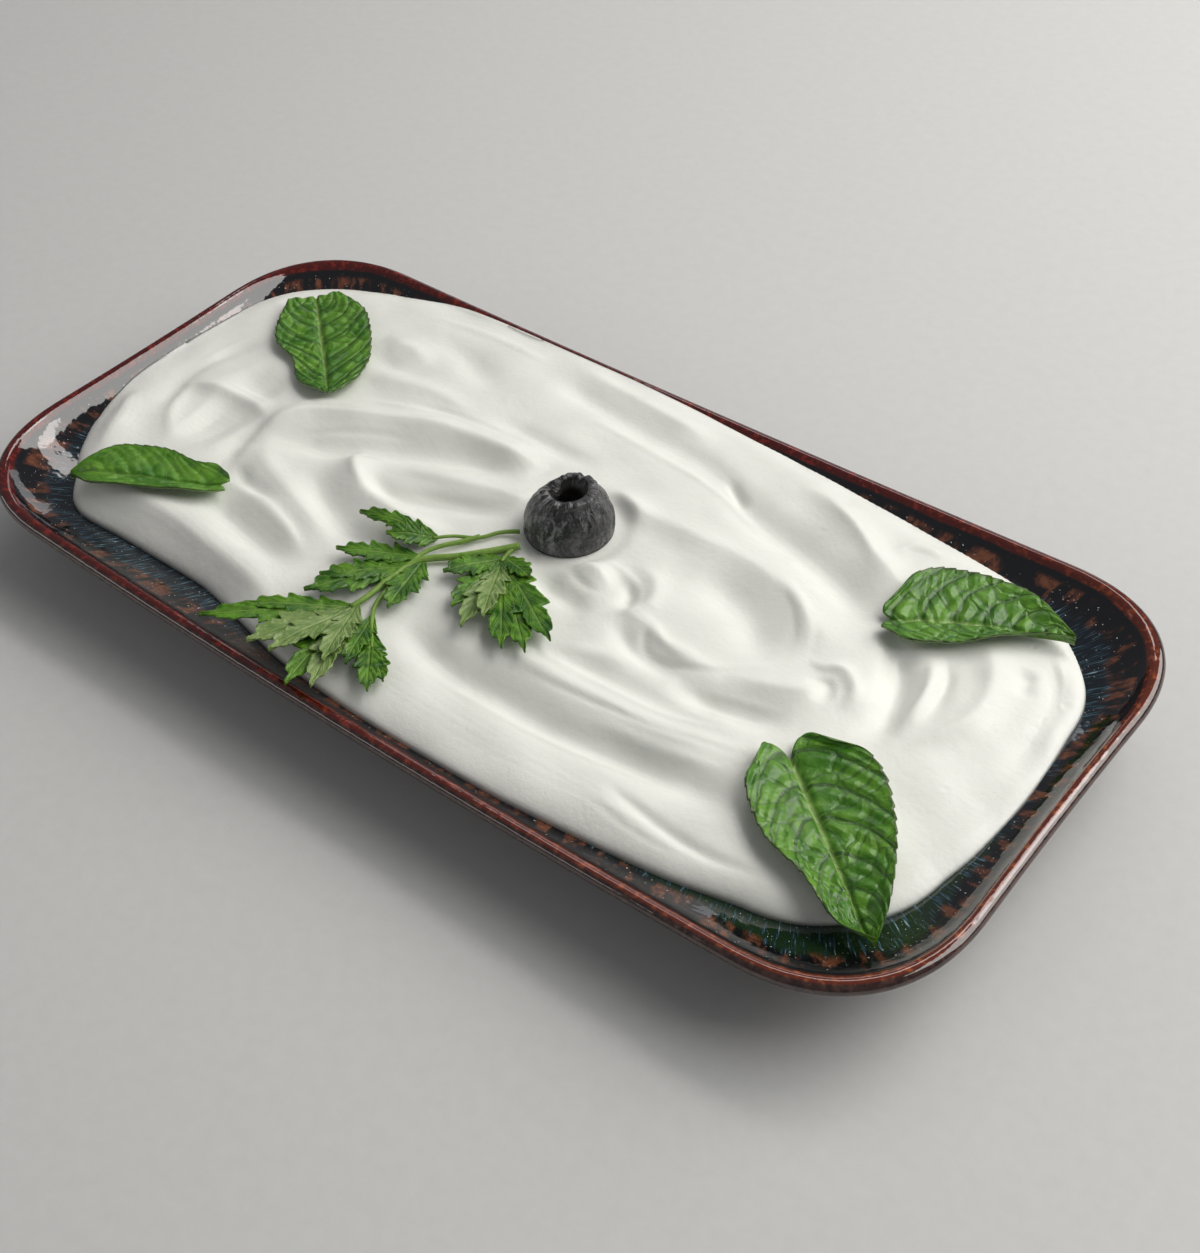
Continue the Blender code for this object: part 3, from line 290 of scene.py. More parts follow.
def edge_inset(loop):
    """Inset of the yogurt's edge, a smooth closed curve through EDGE."""
    at = np.array([p[0] for p in EDGE])
    value = np.array([p[1] for p in EDGE])
    total = np.zeros_like(np.asarray(loop, float))
    for shift, weight in ((-0.04, 0.25), (-0.02, 0.5), (0.0, 1.0), (0.02, 0.5), (0.04, 0.25)):
        total = total + weight * np.interp((loop + shift) % 4.0, at, value, period=4.0)
    return total / 2.5


def true_place(x, y, z):
    """Where a point at height z is, that is seen from EYE at (x, y) on the level SEEN_Z."""
    k = (EYE[2] - z) / (EYE[2] - SEEN_Z)
    return EYE[0] + (x - EYE[0]) * k, EYE[1] + (y - EYE[1]) * k


def spline(points, steps):
    """Catmull-Rom curve through plan or space points."""
    p = np.array(points, float)
    p = np.vstack([2 * p[0] - p[1], p, 2 * p[-1] - p[-2]])
    out = []
    for i in range(1, len(p) - 2):
        t = np.linspace(0, 1, steps, endpoint=False)[:, None]
        out.append(0.5 * (2 * p[i] + (p[i + 1] - p[i - 1]) * t
                          + (2 * p[i - 1] - 5 * p[i] + 4 * p[i + 1] - p[i + 2]) * t ** 2
                          + (3 * p[i] - p[i - 1] - 3 * p[i + 1] + p[i + 2]) * t ** 3))
    out.append(p[-2:-1])
    return np.vstack(out)


def mound_z(x, y):
    """The yogurt without its strokes and edge."""
    ends = 1 - END_LOSS * (x / HALF_LENGTH) ** 2
    top = MOUND_EDGE + MOUND_RISE * ends * (1 - SIDE_LOSS * (y / MOUND_HALF_WIDTH) ** 2)
    top = top + FAR_RISE * smooth_step((y - FAR_START) / FAR_RUN)
    top = top - END_DROP * smooth_step((x - DROP_START) / DROP_RUN)
    return top + LUMP * (np.sin(0.30 * x + 0.13 * y) * np.sin(0.26 * y - 0.07 * x + 1.0)
                         + 0.6 * np.sin(0.17 * x - 0.33 * y + 2.0))


def stroke_z(x, y):
    """Ridges and troughs of the spoon strokes and the fine creases, with faint lines along each."""
    total = np.zeros_like(x)
    for height, left, right, path in STROKES + CREASES:
        line = spline(path, 6)
        px, py = true_place(line[:, 0], line[:, 1], mound_z(line[:, 0], line[:, 1]))
        reach = STROKE_REACH * max(left, right)
        pick = ((x > px.min() - reach) & (x < px.max() + reach)
                & (y > py.min() - reach) & (y < py.max() + reach))
        if not pick.any():
            continue
        sx, sy = x[pick], y[pick]
        step = np.hypot(np.diff(px), np.diff(py))
        along = np.concatenate([[0], np.cumsum(step)])
        best = np.full(sx.shape, 1e9)
        side = np.zeros_like(sx)
        run = np.zeros_like(sx)
        for i in range(len(step)):
            dx, dy = (px[i + 1] - px[i]) / step[i], (py[i + 1] - py[i]) / step[i]
            t = np.clip((sx - px[i]) * dx + (sy - py[i]) * dy, 0, step[i])
            ox, oy = sx - px[i] - t * dx, sy - py[i] - t * dy
            dist = np.hypot(ox, oy)
            near = dist < best
            best = np.where(near, dist, best)
            side = np.where(near, dx * oy - dy * ox, side)
            run = np.where(near, along[i] + t, run)
        width = np.where(side > 0, left, right)
        ends = min(TAPER_SHARE * along[-1], TAPER_LENGTH)
        taper = smooth_step(run / ends + TAPER_START)
        taper = taper * smooth_step((along[-1] - run) / ends + TAPER_START)
        shape = np.exp(-(best / width) ** (RIDGE_POWER if height > 0 else TROUGH_POWER))
        lines = LINE_HEIGHT * np.cos(LINE_ACROSS * best + LINE_ALONG * run)
        total[pick] += taper * shape * (height + lines)
    for px, py, radius, depth in PITS:
        px, py = true_place(px, py, float(mound_z(px, py)))
        gap = np.hypot(x - px, y - py) / radius
        rim = PIT_RIM * np.exp(-((gap - PIT_RIM_AT) / PIT_RIM_WIDTH) ** 2)
        total += depth * (rim - np.exp(-gap ** 4))
    return total


LOOP = np.linspace(0, 4, 721)[:-1]
EDGE_X, EDGE_Y = rim_point(LOOP, edge_inset(LOOP))
EDGE_Z = wall_z(edge_inset(LOOP), EDGE_X)
RIM_X, RIM_Y = rim_point(LOOP)


def nearest(x, y, line_x, line_y, batch=20000):
    """Distance to the nearest point of a closed line, and that point's number."""
    flat_x, flat_y = np.ravel(x), np.ravel(y)
    index = np.empty(flat_x.shape, int)
    for start in range(0, len(flat_x), batch):
        part = slice(start, start + batch)
        gap = (flat_x[part, None] - line_x) ** 2 + (flat_y[part, None] - line_y) ** 2
        index[part] = gap.argmin(1)
    dist = np.hypot(flat_x - line_x[index], flat_y - line_y[index])
    return dist.reshape(np.shape(x)), index.reshape(np.shape(x))


def yogurt_z(x, y):
    """Top of the yogurt: mound and strokes, flat under the olive, rolled down at the edge."""
    dist, index = nearest(x, y, EDGE_X, EDGE_Y)
    fade = smooth_step(dist / EDGE_FADE)
    top = mound_z(x, y) + stroke_z(x, y) * fade
    pad = np.hypot(x - OLIVE_AT[0], y - OLIVE_AT[1])
    level = float(mound_z(*OLIVE_AT)) - PAD_SINK
    top = level + (top - level) * smooth_step((pad - OLIVE_PAD + PAD_INSIDE) / PAD_BLEND)
    low = EDGE_Z[index]
    reach = ROLL_REACH + ROLL_SLOPE * np.maximum(top - low, 0)
    roll = (1 - (1 - np.clip(dist / reach, 0, 1)) ** ROLL_POWER) ** (1 / ROLL_POWER)
    return low + (top - low) * roll


def inside(x, y, line_x, line_y):
    """True inside a closed line."""
    hit = np.zeros(np.shape(x), bool)
    for i in range(len(line_x)):
        x0, y0, x1, y1 = line_x[i - 1], line_y[i - 1], line_x[i], line_y[i]
        cross = (y0 > y) != (y1 > y)
        if y1 != y0:
            hit ^= cross & (x < (x1 - x0) * (y - y0) / (y1 - y0) + x0)
    return hit


class Ground:
    """The highest point of the yogurt and dish within a few millimetres, on a fine grid."""

    STEP, REACH, HALF_X, HALF_Y = 0.8, 3.2, 130.0, 66.0

    def __init__(self):
        x = np.arange(-self.HALF_X, self.HALF_X + 0.1, self.STEP)
        y = np.arange(-self.HALF_Y, self.HALF_Y + 0.1, self.STEP)
        gx, gy = np.meshgrid(x, y, indexing="ij")
        dist = nearest(gx, gy, RIM_X, RIM_Y)[0]
        glaze = np.where(dist < LIP, rim_z(gx) + LIP, wall_z(dist, gx))
        glaze = np.where(inside(gx, gy, RIM_X, RIM_Y) | (dist < LIP + 1), glaze, 0.0)
        food = inside(gx, gy, EDGE_X, EDGE_Y)
        top = glaze.copy()
        top[food] = np.maximum(yogurt_z(gx[food], gy[food]), glaze[food])
        self.high = self.spread(top)

    def spread(self, top):
        """The highest value within REACH."""
        cells = int(self.REACH / self.STEP)
        wide = np.pad(top, cells, mode="edge")
        out = top.copy()
        for di in range(-cells, cells + 1):
            for dj in range(-cells, cells + 1):
                if di * di + dj * dj <= cells * cells:
                    out = np.maximum(out, wide[cells + di:cells + di + top.shape[0],
                                               cells + dj:cells + dj + top.shape[1]])
        return out

    def drape(self, x, y):
        """Height that clears the ground at a plan position."""
        grid = self.high
        i = np.clip((x + self.HALF_X) / self.STEP, 0, grid.shape[0] - 1.001)
        j = np.clip((y + self.HALF_Y) / self.STEP, 0, grid.shape[1] - 1.001)
        i0, j0 = i.astype(int), j.astype(int)
        fi, fj = i - i0, j - j0
        return (grid[i0, j0] * (1 - fi) * (1 - fj) + grid[i0 + 1, j0] * fi * (1 - fj)
                + grid[i0, j0 + 1] * (1 - fi) * fj + grid[i0 + 1, j0 + 1] * fi * fj)


def settle(low, rounds):
    """Smooth a grid of heights that never goes below the grid it starts from."""
    z = low.copy()
    for _ in range(rounds):
        wide = np.pad(z, 1, mode="edge")
        wide[0, 1:-1] = 2 * z[0] - z[1]
        wide[-1, 1:-1] = 2 * z[-1] - z[-2]
        mean = (wide[:-2, 1:-1] + wide[2:, 1:-1] + wide[1:-1, :-2] + wide[1:-1, 2:]) / 4
        z = np.maximum(low, mean)
    return z


def grid_mesh(columns, rows, place, layer=None):
    """A grid whose points place(i, j) puts in millimetres; a fourth array of triples fills layer."""
    bm = bmesh.new()
    bmesh.ops.create_grid(bm, x_segments=columns, y_segments=rows, size=1.0)
    bm.verts.ensure_lookup_table()
    spot = np.array([v.co[:2] for v in bm.verts])
    i = np.rint((spot[:, 0] + 1) * columns / 2).astype(int)
    j = np.rint((spot[:, 1] + 1) * rows / 2).astype(int)
    x, y, z, *extra = place(i, j)
    points = np.column_stack([x, y, z]).tolist()
    for vert, point in zip(bm.verts, points):
        vert.co = point
    if layer:
        slot = bm.verts.layers.float_vector.new(layer)
        for vert, value in zip(bm.verts, np.asarray(extra[0]).tolist()):
            vert[slot] = value
    return bm


def grid_order(i, j, columns, rows, values):
    """Reorder values at grid numbers into a (columns + 1, rows + 1) array, and the way back."""
    flat = i * (rows + 1) + j
    table = np.empty((columns + 1) * (rows + 1))
    table[flat] = values
    return table.reshape(columns + 1, rows + 1), flat


def add_object(name, data):
    obj = bpy.data.objects.new(name, data)
    bpy.context.scene.collection.objects.link(obj)
    return obj


def to_mesh(name, bm):
    """Move a bmesh into a new mesh."""
    mesh = bpy.data.meshes.new(name)
    bm.to_mesh(mesh)
    bm.free()
    return mesh


def join(bm, part):
    """Move a second bmesh into the first."""
    mesh = to_mesh("part", part)
    bm.from_mesh(mesh)
    bpy.data.meshes.remove(mesh)


def finish_piece(name, bm, look, slot, *nodes):
    """Turn a bmesh in millimetres into a smooth piece in metres that replaces CAD nodes."""
    bmesh.ops.scale(bm, vec=(MM, MM, MM), verts=bm.verts[:])
    for face in bm.faces:
        face.smooth = True
    mesh = to_mesh(name, bm)
    mesh.materials.append(look)
    obj = add_object(name, mesh)
    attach(obj, "root")
    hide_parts(*nodes)
    return obj


# ---------------------------------------------------------------- materials
class Value:
    """A shader number with arithmetic: each operator adds the Math node that does it."""

    def __init__(self, look, socket):
        self.look, self.socket = look, socket

    def __add__(self, other):
        return self.look.math("ADD", self, other)

    def __sub__(self, other):
        return self.look.math("SUBTRACT", self, other)

    def __mul__(self, other):
        return self.look.math("MULTIPLY", self, other)

    def __rsub__(self, other):
        return self.look.math("SUBTRACT", other, self)

    def __abs__(self):
        return self.look.math("ABSOLUTE", self)

    __radd__, __rmul__ = __add__, __mul__


class Look:
    """One procedural material and the nodes it is made of."""

    def __init__(self, name, **constants):
        self.material = bpy.data.materials.new(name)
        self.material.use_nodes = True
        self.tree = self.material.node_tree
        self.shader = self.tree.nodes["Principled BSDF"]
        for socket, value in constants.items():
            self.shader.inputs[socket.replace("_", " ")].default_value = value

    def node(self, kind, settings=None, output=0, **sockets):
        """Add a node; a socket is given by its name, or as i and its number."""
        made = self.tree.nodes.new(kind)
        for key, value in (settings or {}).items():
            setattr(made, key, value)
        for key, value in sockets.items():
            index = int(key[1:]) if key[0] == "i" and key[1:].isdigit() else key
            self.plug(made.inputs[index], value)
        return Value(self, made.outputs[output])

    def plug(self, socket, value):
        if isinstance(value, Value):
            self.tree.links.new(value.socket, socket)
        else:
            socket.default_value = (*value, 1.0) if socket.type == "RGBA" else value

    def math(self, operation, *values):
        sockets = {f"i{n}": value for n, value in enumerate(values)}
        return self.node("ShaderNodeMath", {"operation": operation}, **sockets)

    def step(self, value, low, high):
        """0 below low, 1 above high, smooth between."""
        return self.node("ShaderNodeMapRange", {"interpolation_type": "SMOOTHSTEP"},
                         i0=value, i1=low, i2=high, i3=0.0, i4=1.0)

    def mix(self, factor, first, second):
        return self.node("ShaderNodeMix", {"data_type": "RGBA"}, output=2, i0=factor, i6=first, i7=second)

    def vector(self, x, y, z):
        return self.node("ShaderNodeCombineXYZ", i0=x, i1=y, i2=z)

    def split(self, vector):
        made = self.node("ShaderNodeSeparateXYZ", i0=vector)
        return [Value(self, out) for out in made.socket.node.outputs]

    def attribute(self, name):
        return self.node("ShaderNodeAttribute", {"attribute_name": name}, output=1)

    def place(self):
        return self.node("ShaderNodeTexCoord", output=3)

    def noise(self, vector, scale, detail=2.0, roughness=0.5):
        return self.node("ShaderNodeTexNoise", Vector=vector, Scale=scale, Detail=detail, Roughness=roughness)

    def cracks(self, vector, scale):
        return self.node("ShaderNodeTexVoronoi", {"feature": "DISTANCE_TO_EDGE"}, Vector=vector, Scale=scale)

    def bump(self, height, distance, strength=1.0, under=None):
        sockets = {"Height": height, "Distance": distance, "Strength": strength}
        if under is not None:
            sockets["Normal"] = under
        return self.node("ShaderNodeBump", **sockets)

    def set(self, **sockets):
        for name, value in sockets.items():
            self.plug(self.shader.inputs[name.replace("_", " ")], value)
        return self.material


def glaze_look():
    """Dark reactive glaze: a red line inside the lip, brick blotches on black, then blue feathers."""
    look = Look("reactive_glaze", Roughness=0.06, IOR=1.75)
    x, y, depth = look.split(look.attribute("glaze_at"))
    here = look.place()
    blotch = look.noise(look.vector(x * 0.34, y * 0.34, depth * 0.16), 1.0, 3.0, 0.5)
    hair = look.noise(look.vector(x * 2.0, y * 2.0, depth * 0.22), 1.0, 2.0, 0.6)
    broad = look.noise(look.vector(x * 0.10, y * 0.10, depth * 0.08), 1.0, 1.0, 0.5)
    speck = look.noise(here, 620.0, 2.0, 0.6)
    warm = look.step(x - y * 0.5, 0.0, 150.0)
    wander = (broad - 0.5) * 5.0 + (hair - 0.5) * 2.0
    lip = look.mix(look.step(speck, 0.35, 0.7), (0.028, 0.011, 0.009), (0.085, 0.038, 0.028))
    red = look.mix(warm, (0.070, 0.004, 0.003), (0.130, 0.022, 0.008))
    spark = look.mix(warm, (0.190, 0.016, 0.008), (0.330, 0.085, 0.026))
    red = look.mix(look.step(speck, 0.50, 0.68), red, spark)
    brick = look.mix(look.step(speck, 0.35, 0.65), (0.075, 0.024, 0.014), (0.165, 0.058, 0.028))
    ink = (0.005, 0.005, 0.007)
    brick = look.mix(look.step(blotch, 0.48, 0.62), ink, brick)
    teal = look.mix(look.step(hair, 0.50, 0.70), (0.004, 0.008, 0.014), (0.050, 0.110, 0.150))
    teal = look.mix(look.step(hair, 0.66, 0.76), teal, (0.30, 0.40, 0.44))
    green = look.step(x * 0.6 - y, 70.0, 100.0)
    teal = look.mix(green * look.step(hair, 0.66, 0.45), teal, (0.010, 0.026, 0.010))
    shade = look.mix(look.step(depth, -0.8, -0.3), lip, red)
    shade = look.mix(look.step(depth + wander * 0.15, 1.6, 2.1), shade, ink)
    shade = look.mix(look.step(depth + wander * 0.3, 2.8, 3.8), shade, brick)
    shade = look.mix(look.step(depth + wander, 6.5, 9.0), shade, teal)
    dot = look.step(look.noise(here, 2300.0, 0.0, 0.5), 0.80, 0.84) * look.step(depth, 2.0, 4.0)
    shade = look.mix(dot, shade, (0.55, 0.56, 0.55))
    wave = look.bump(look.noise(here, 38.0, 2.0, 0.4), 0.0012, 0.4)
    relief = look.bump(look.noise(here, 110.0, 3.0, 0.6), 0.0005, 0.4, wave)
    return look.set(Base_Color=shade, Normal=relief)


def yogurt_look():
    """Thick strained yogurt: near white, soft light inside, a faint moist sheen."""
    look = Look("strained_yogurt", Subsurface_Weight=0.2, Subsurface_Scale=0.002, IOR=1.38,
                Subsurface_Radius=(1.0, 0.9, 0.75), Coat_Roughness=0.22, Coat_IOR=1.33)
    here = look.place()
    cloud = look.noise(here, 60.0, 3.0, 0.5)
    grain = look.bump(look.noise(here, 900.0, 3.0, 0.6), 0.0002, 0.25)
    lumps = look.bump(look.noise(here, 230.0, 3.0, 0.55), 0.0005, 0.30, grain)
    shade = look.mix(look.step(cloud, 0.3, 0.7), (0.84, 0.845, 0.79), (0.875, 0.88, 0.825))
    wet = look.step(look.noise(here, 140.0, 2.0, 0.5), 0.45, 0.75)
    return look.set(Base_Color=shade, Roughness=0.42 - wet * 0.14, Coat_Weight=wet * 0.35, Normal=lumps)


def mint_look(name, crease, pale):
    """Mint leaf: pale midrib and side veins, pillowed cells with painted shade in the grooves between them
    and along the side veins, a purplish toothed margin.

    crease is how deep its grooves are, in the bump and in their painted shade, and pale how clear its side
    veins are.
    """
    look = Look(name, IOR=1.45, Specular_IOR_Level=0.6, Subsurface_Weight=0.12,
                Subsurface_Scale=0.0015, Subsurface_Radius=(0.5, 1.0, 0.2))
    along, across, face = look.split(look.attribute("leaf_at"))
    side = abs(across)
    here = look.place()
    patch = look.noise(here, 170.0, 3.0, 0.6)
    stray = look.noise(here, 90.0, 2.0, 0.5)
    phase = (along - side * VEIN_LEAN - side * side * VEIN_CURL) * VEINS + (stray - 0.5) * 0.4
    wave = abs(look.math("FRACT", phase) - 0.5)
    rib = look.step(side, 0.065, 0.02)
    lateral = look.step(wave, 0.475, 0.495) * look.step(side, 1.0, 0.55)
    cell = look.cracks(look.vector(along * 11.0 + stray * 1.5, across * 2.6 + patch, 0.0), 1.0)
    pillow = look.step(cell, 0.0, 0.35) * 0.6 + look.step(wave, 0.49, 0.22) * 0.6
    flesh = look.mix(look.step(patch, 0.3, 0.72), (0.045, 0.165, 0.009), (0.140, 0.325, 0.028))
    # painted shade: the grooves between cells and along the side veins are darkened in the colour
    groove = look.math("MAXIMUM", look.step(cell, 0.08, 0.0) * 0.6, look.step(wave, 0.42, 0.47) * 0.85)
    flesh = look.mix(groove * crease, flesh, (0.014, 0.060, 0.004))
    flesh = look.mix(look.step(side, 0.93, 1.0) * 0.7, flesh, (0.040, 0.030, 0.016))
    vein = look.math("MAXIMUM", rib, lateral * pale)
    shade = look.mix(vein * 0.7, flesh, (0.24, 0.38, 0.09))
    back = look.mix(vein * 0.5, (0.16, 0.27, 0.08), (0.36, 0.46, 0.18))
    shade = look.mix(look.step(face, 0.2, -0.2), shade, back)
    relief = look.bump(pillow + look.noise(here, 1500.0, 2.0, 0.5) * 0.12, 0.0009, 0.7 * crease)
    return look.set(Base_Color=shade, Roughness=0.30 + patch * 0.15, Normal=relief)


def parsley_look():
    """Parsley: deep thin green, greyer where its underside shows, pale veins and juicy stems."""
    look = Look("fresh_parsley", IOR=1.45, Specular_IOR_Level=0.5, Subsurface_Weight=0.12,
                Subsurface_Scale=0.0012, Subsurface_Radius=(0.6, 1.0, 0.2))
    along, across, kind = look.split(look.attribute("leaf_at"))
    side = abs(across)
    wave = abs(look.math("FRACT", (along - side * PARSLEY_LEAN) * PARSLEY_VEINS) - 0.5)
    veins = look.math("MAXIMUM", look.step(side, 0.14, 0.04), look.step(wave, 0.40, 0.48) * 0.7)
    here = look.place()
    patch = look.noise(here, 260.0, 3.0, 0.6)
    flesh = look.mix(look.step(patch, 0.3, 0.7), (0.020, 0.095, 0.004), (0.125, 0.290, 0.018))
    under = look.mix(look.step(patch, 0.3, 0.7), (0.130, 0.225, 0.050), (0.270, 0.370, 0.130))
    flesh = look.mix(look.step(kind, 0.7, 0.3), flesh, under)
    shade = look.mix(veins * 0.4, flesh, (0.24, 0.38, 0.09))
    stem = look.mix(patch, (0.10, 0.24, 0.02), (0.32, 0.48, 0.10))
    shade = look.mix(look.step(kind, 1.4, 1.6), shade, stem)
    relief = look.bump(veins * -1.0 + look.noise(here, 1300.0, 2.0, 0.5) * 0.4, 0.0005, 0.6)
    return look.set(Base_Color=shade, Roughness=0.32 + patch * 0.14, Normal=relief)


def olive_look():
    """Black olive skin: satin, wrinkled, grey-specked, the specks denser on its -X and -Y sides as a painted
    sheen; brown flesh inside the hole.
    """
    look = Look("olive_skin", IOR=1.5, Specular_IOR_Level=0.6)
    x, y, z = look.split(look.attribute("olive_at"))
    wrinkle = look.noise(look.vector(x * 8.0, y * 8.0, z * 3.0), 1.0, 4.0, 0.65)
    speck = look.step(look.noise(look.vector(x * 20.0, y * 20.0, z * 5.0), 1.0, 4.0, 0.7), 0.47, 0.64)
    # painted sheen: extra grey specks on the olive's -X and -Y sides stand in for its satin reflection there;
    # the specks elsewhere are its own
    painted_sheen_side = look.step(x + y * 0.7, 0.16, -0.16) * look.step(z, 0.0, 0.4)
    skin = look.mix(look.step(wrinkle, 0.3, 0.7), (0.006, 0.006, 0.007), (0.040, 0.040, 0.043))
    skin = look.mix(speck * (0.25 + painted_sheen_side * 0.6), skin, (0.30, 0.30, 0.305))
    shade = look.mix(look.step(z, 1.05, 1.25), skin, (0.018, 0.016, 0.015))
    return look.set(Base_Color=shade, Roughness=0.27 + speck * 0.2,
                    Normal=look.bump(wrinkle, 0.0010, 1.0))


# ---------------------------------------------------------------- pieces
def close_loops(bm, distance=0.001):
    bmesh.ops.remove_doubles(bm, verts=bm.verts[:], dist=distance)
    edges = [e for e in bm.edges if e.is_boundary]
    if edges:
        bmesh.ops.holes_fill(bm, edges=edges, sides=0)
    bmesh.ops.recalc_face_normals(bm, faces=bm.faces[:])


def dish_rings():
    """(inset, height rule, value, distance from the lip's crest along the glaze) for each ring."""
    start = LIP * math.sin(WALL_TILT)
    rings = []
    for n in range(WALL_RINGS + 1):
        u = start + (WALL_RUN - start) * (1 - n / WALL_RINGS) ** 2
        rings.append((u, "wall", 0.0, GLAZE_START + (u - start) * GLAZE_SLOPE))
    for n in range(1, LIP_RINGS + 1):
        a = math.radians(LIP_FROM + (LIP_TO - LIP_FROM) * n / LIP_RINGS)
        rings.append((LIP * math.cos(a), "rim", LIP * math.sin(a), -LIP * (a - math.pi / 2)))
    for n in range(1, UNDER_RINGS + 1):
        u = UNDER_START + UNDER_RUN * (n / UNDER_RINGS) ** 1.3
        thick = LIP_THICK + (WALL_THICK - LIP_THICK) * n / UNDER_RINGS
        tilt = math.atan2(wall_z(u - 0.1, HALF_LENGTH) - wall_z(u + 0.1, HALF_LENGTH), 0.2)
        rings.append((u - thick * math.sin(tilt), "under", (u, thick * math.cos(tilt)), UNDER_GLAZE))
    for inset, z in FOOT_OUTSIDE:
        rings.append((FOOT_INSET + inset, "level", z, FOOT_GLAZE))
    for inset, z in FOOT_INSIDE:
        rings.append((FOOT_INSET + FOOT_WIDTH + inset, "level", z, FOOT_GLAZE))
    return rings


def loop_steps(corner, long_side, short_side):
    """Loop values with the corners stepped finer than the sides."""
    half = np.concatenate([np.linspace(0, SIDE_SHARE, short_side, endpoint=False),
                           np.linspace(SIDE_SHARE, CORNER_SHARE, corner, endpoint=False),
                           np.linspace(CORNER_SHARE, 1, long_side, endpoint=False)])
    back = 2 - np.concatenate([[1.0], half[:0:-1]])
    return np.concatenate([half, back, half + 2, back + 2])


def make_dish():
    rings = dish_rings()
    steps = loop_steps(34, 22, 10)

    def place(i, j):
        x, y, z = np.zeros(len(i)), np.zeros(len(i)), np.zeros(len(i))
        at = np.zeros((len(i), 3))
        for n, (inset, rule, value, distance) in enumerate(rings):
            pick = j == n
            loop = steps[i[pick] % len(steps)]
            px, py = rim_point(loop, inset)
            if rule == "wall":
                pz = wall_z(inset, px)
            elif rule == "rim":
                pz = rim_z(px) + value
            elif rule == "under":
                pz = wall_z(value[0], px) - value[1]
            else:
                pz = np.full(len(px), value)
            x[pick], y[pick], z[pick] = px, py, pz
            rx, ry = rim_point(loop)
            at[pick] = np.column_stack([rx, ry, np.full(len(rx), distance)])
        return x, y, z, at

    bm = grid_mesh(len(steps), len(rings) - 1, place, "glaze_at")
    close_loops(bm)
    return finish_piece("glazed_dish", bm, glaze_look(), "dish", "dish")


def frame_spot(x, y, half_x, half_y):
    """Loop value of a grid point's frame, and its depth from the outer frame."""
    depth = np.minimum(half_x - np.abs(x), half_y - np.abs(y))
    far_x = x * half_x / np.maximum(half_x - depth, 1e-6)
    far_y = y * half_y / np.maximum(half_y - depth, 1e-6)
    share = np.where(np.abs(far_x) >= half_x - 1e-6, np.abs(far_y), half_y + half_x - np.abs(far_x))
    share = share / (half_x + half_y)
    loop = np.select([(x > 0) & (y >= 0), (x <= 0) & (y > 0), (x < 0) & (y <= 0)],
                     [share, 2 - share, 2 + share], 4 - share)
    return loop % 4.0, depth, far_x, far_y


def make_yogurt(cell):
    half_x, half_y, blend = HALF_LENGTH - 3, HALF_WIDTH - 1, 45.0
    nx, ny = 2 * round(half_x / cell), 2 * round(half_y / cell)

    def top(i, j):
        x = (2 * i / nx - 1) * half_x
        y = (2 * j / ny - 1) * half_y
        loop, depth, far_x, far_y = frame_spot(x, y, half_x, half_y)
        ex, ey = rim_point(loop, edge_inset(loop))
        pull = np.clip(1 - depth / blend, 0, 1) ** 2
        x, y = x + (ex - far_x) * pull, y + (ey - far_y) * pull
        z = np.where(depth < 1e-6, wall_z(edge_inset(loop), x), yogurt_z(x, y))
        return x, y, z

    bm = grid_mesh(nx, ny, top)
    count = 2 * (nx + ny)
    walk = ([(nx, j) for j in range(ny // 2, ny)] + [(i, ny) for i in range(nx, 0, -1)]
            + [(0, j) for j in range(ny, 0, -1)] + [(i, 0) for i in range(nx)]
            + [(nx, j) for j in range(ny // 2)])
    walk = np.array(walk)
    rows = 10

    def under(i, j):
        spot = walk[i % count]
        x = (2 * spot[:, 0] / nx - 1) * half_x
        y = (2 * spot[:, 1] / ny - 1) * half_y
        loop = frame_spot(x, y, half_x, half_y)[0]
        start = edge_inset(loop)
        inset = start + (WALL_RUN - start) * (j / rows) ** 2
        px, py = rim_point(loop, inset)
        return px, py, wall_z(inset, px) + np.where(j > 0, 0.05, 0.0)

    join(bm, grid_mesh(count, rows, under))
    close_loops(bm, 0.01)
    return finish_piece("yogurt_dip", bm, yogurt_look(), "yogurt", "yogurt")


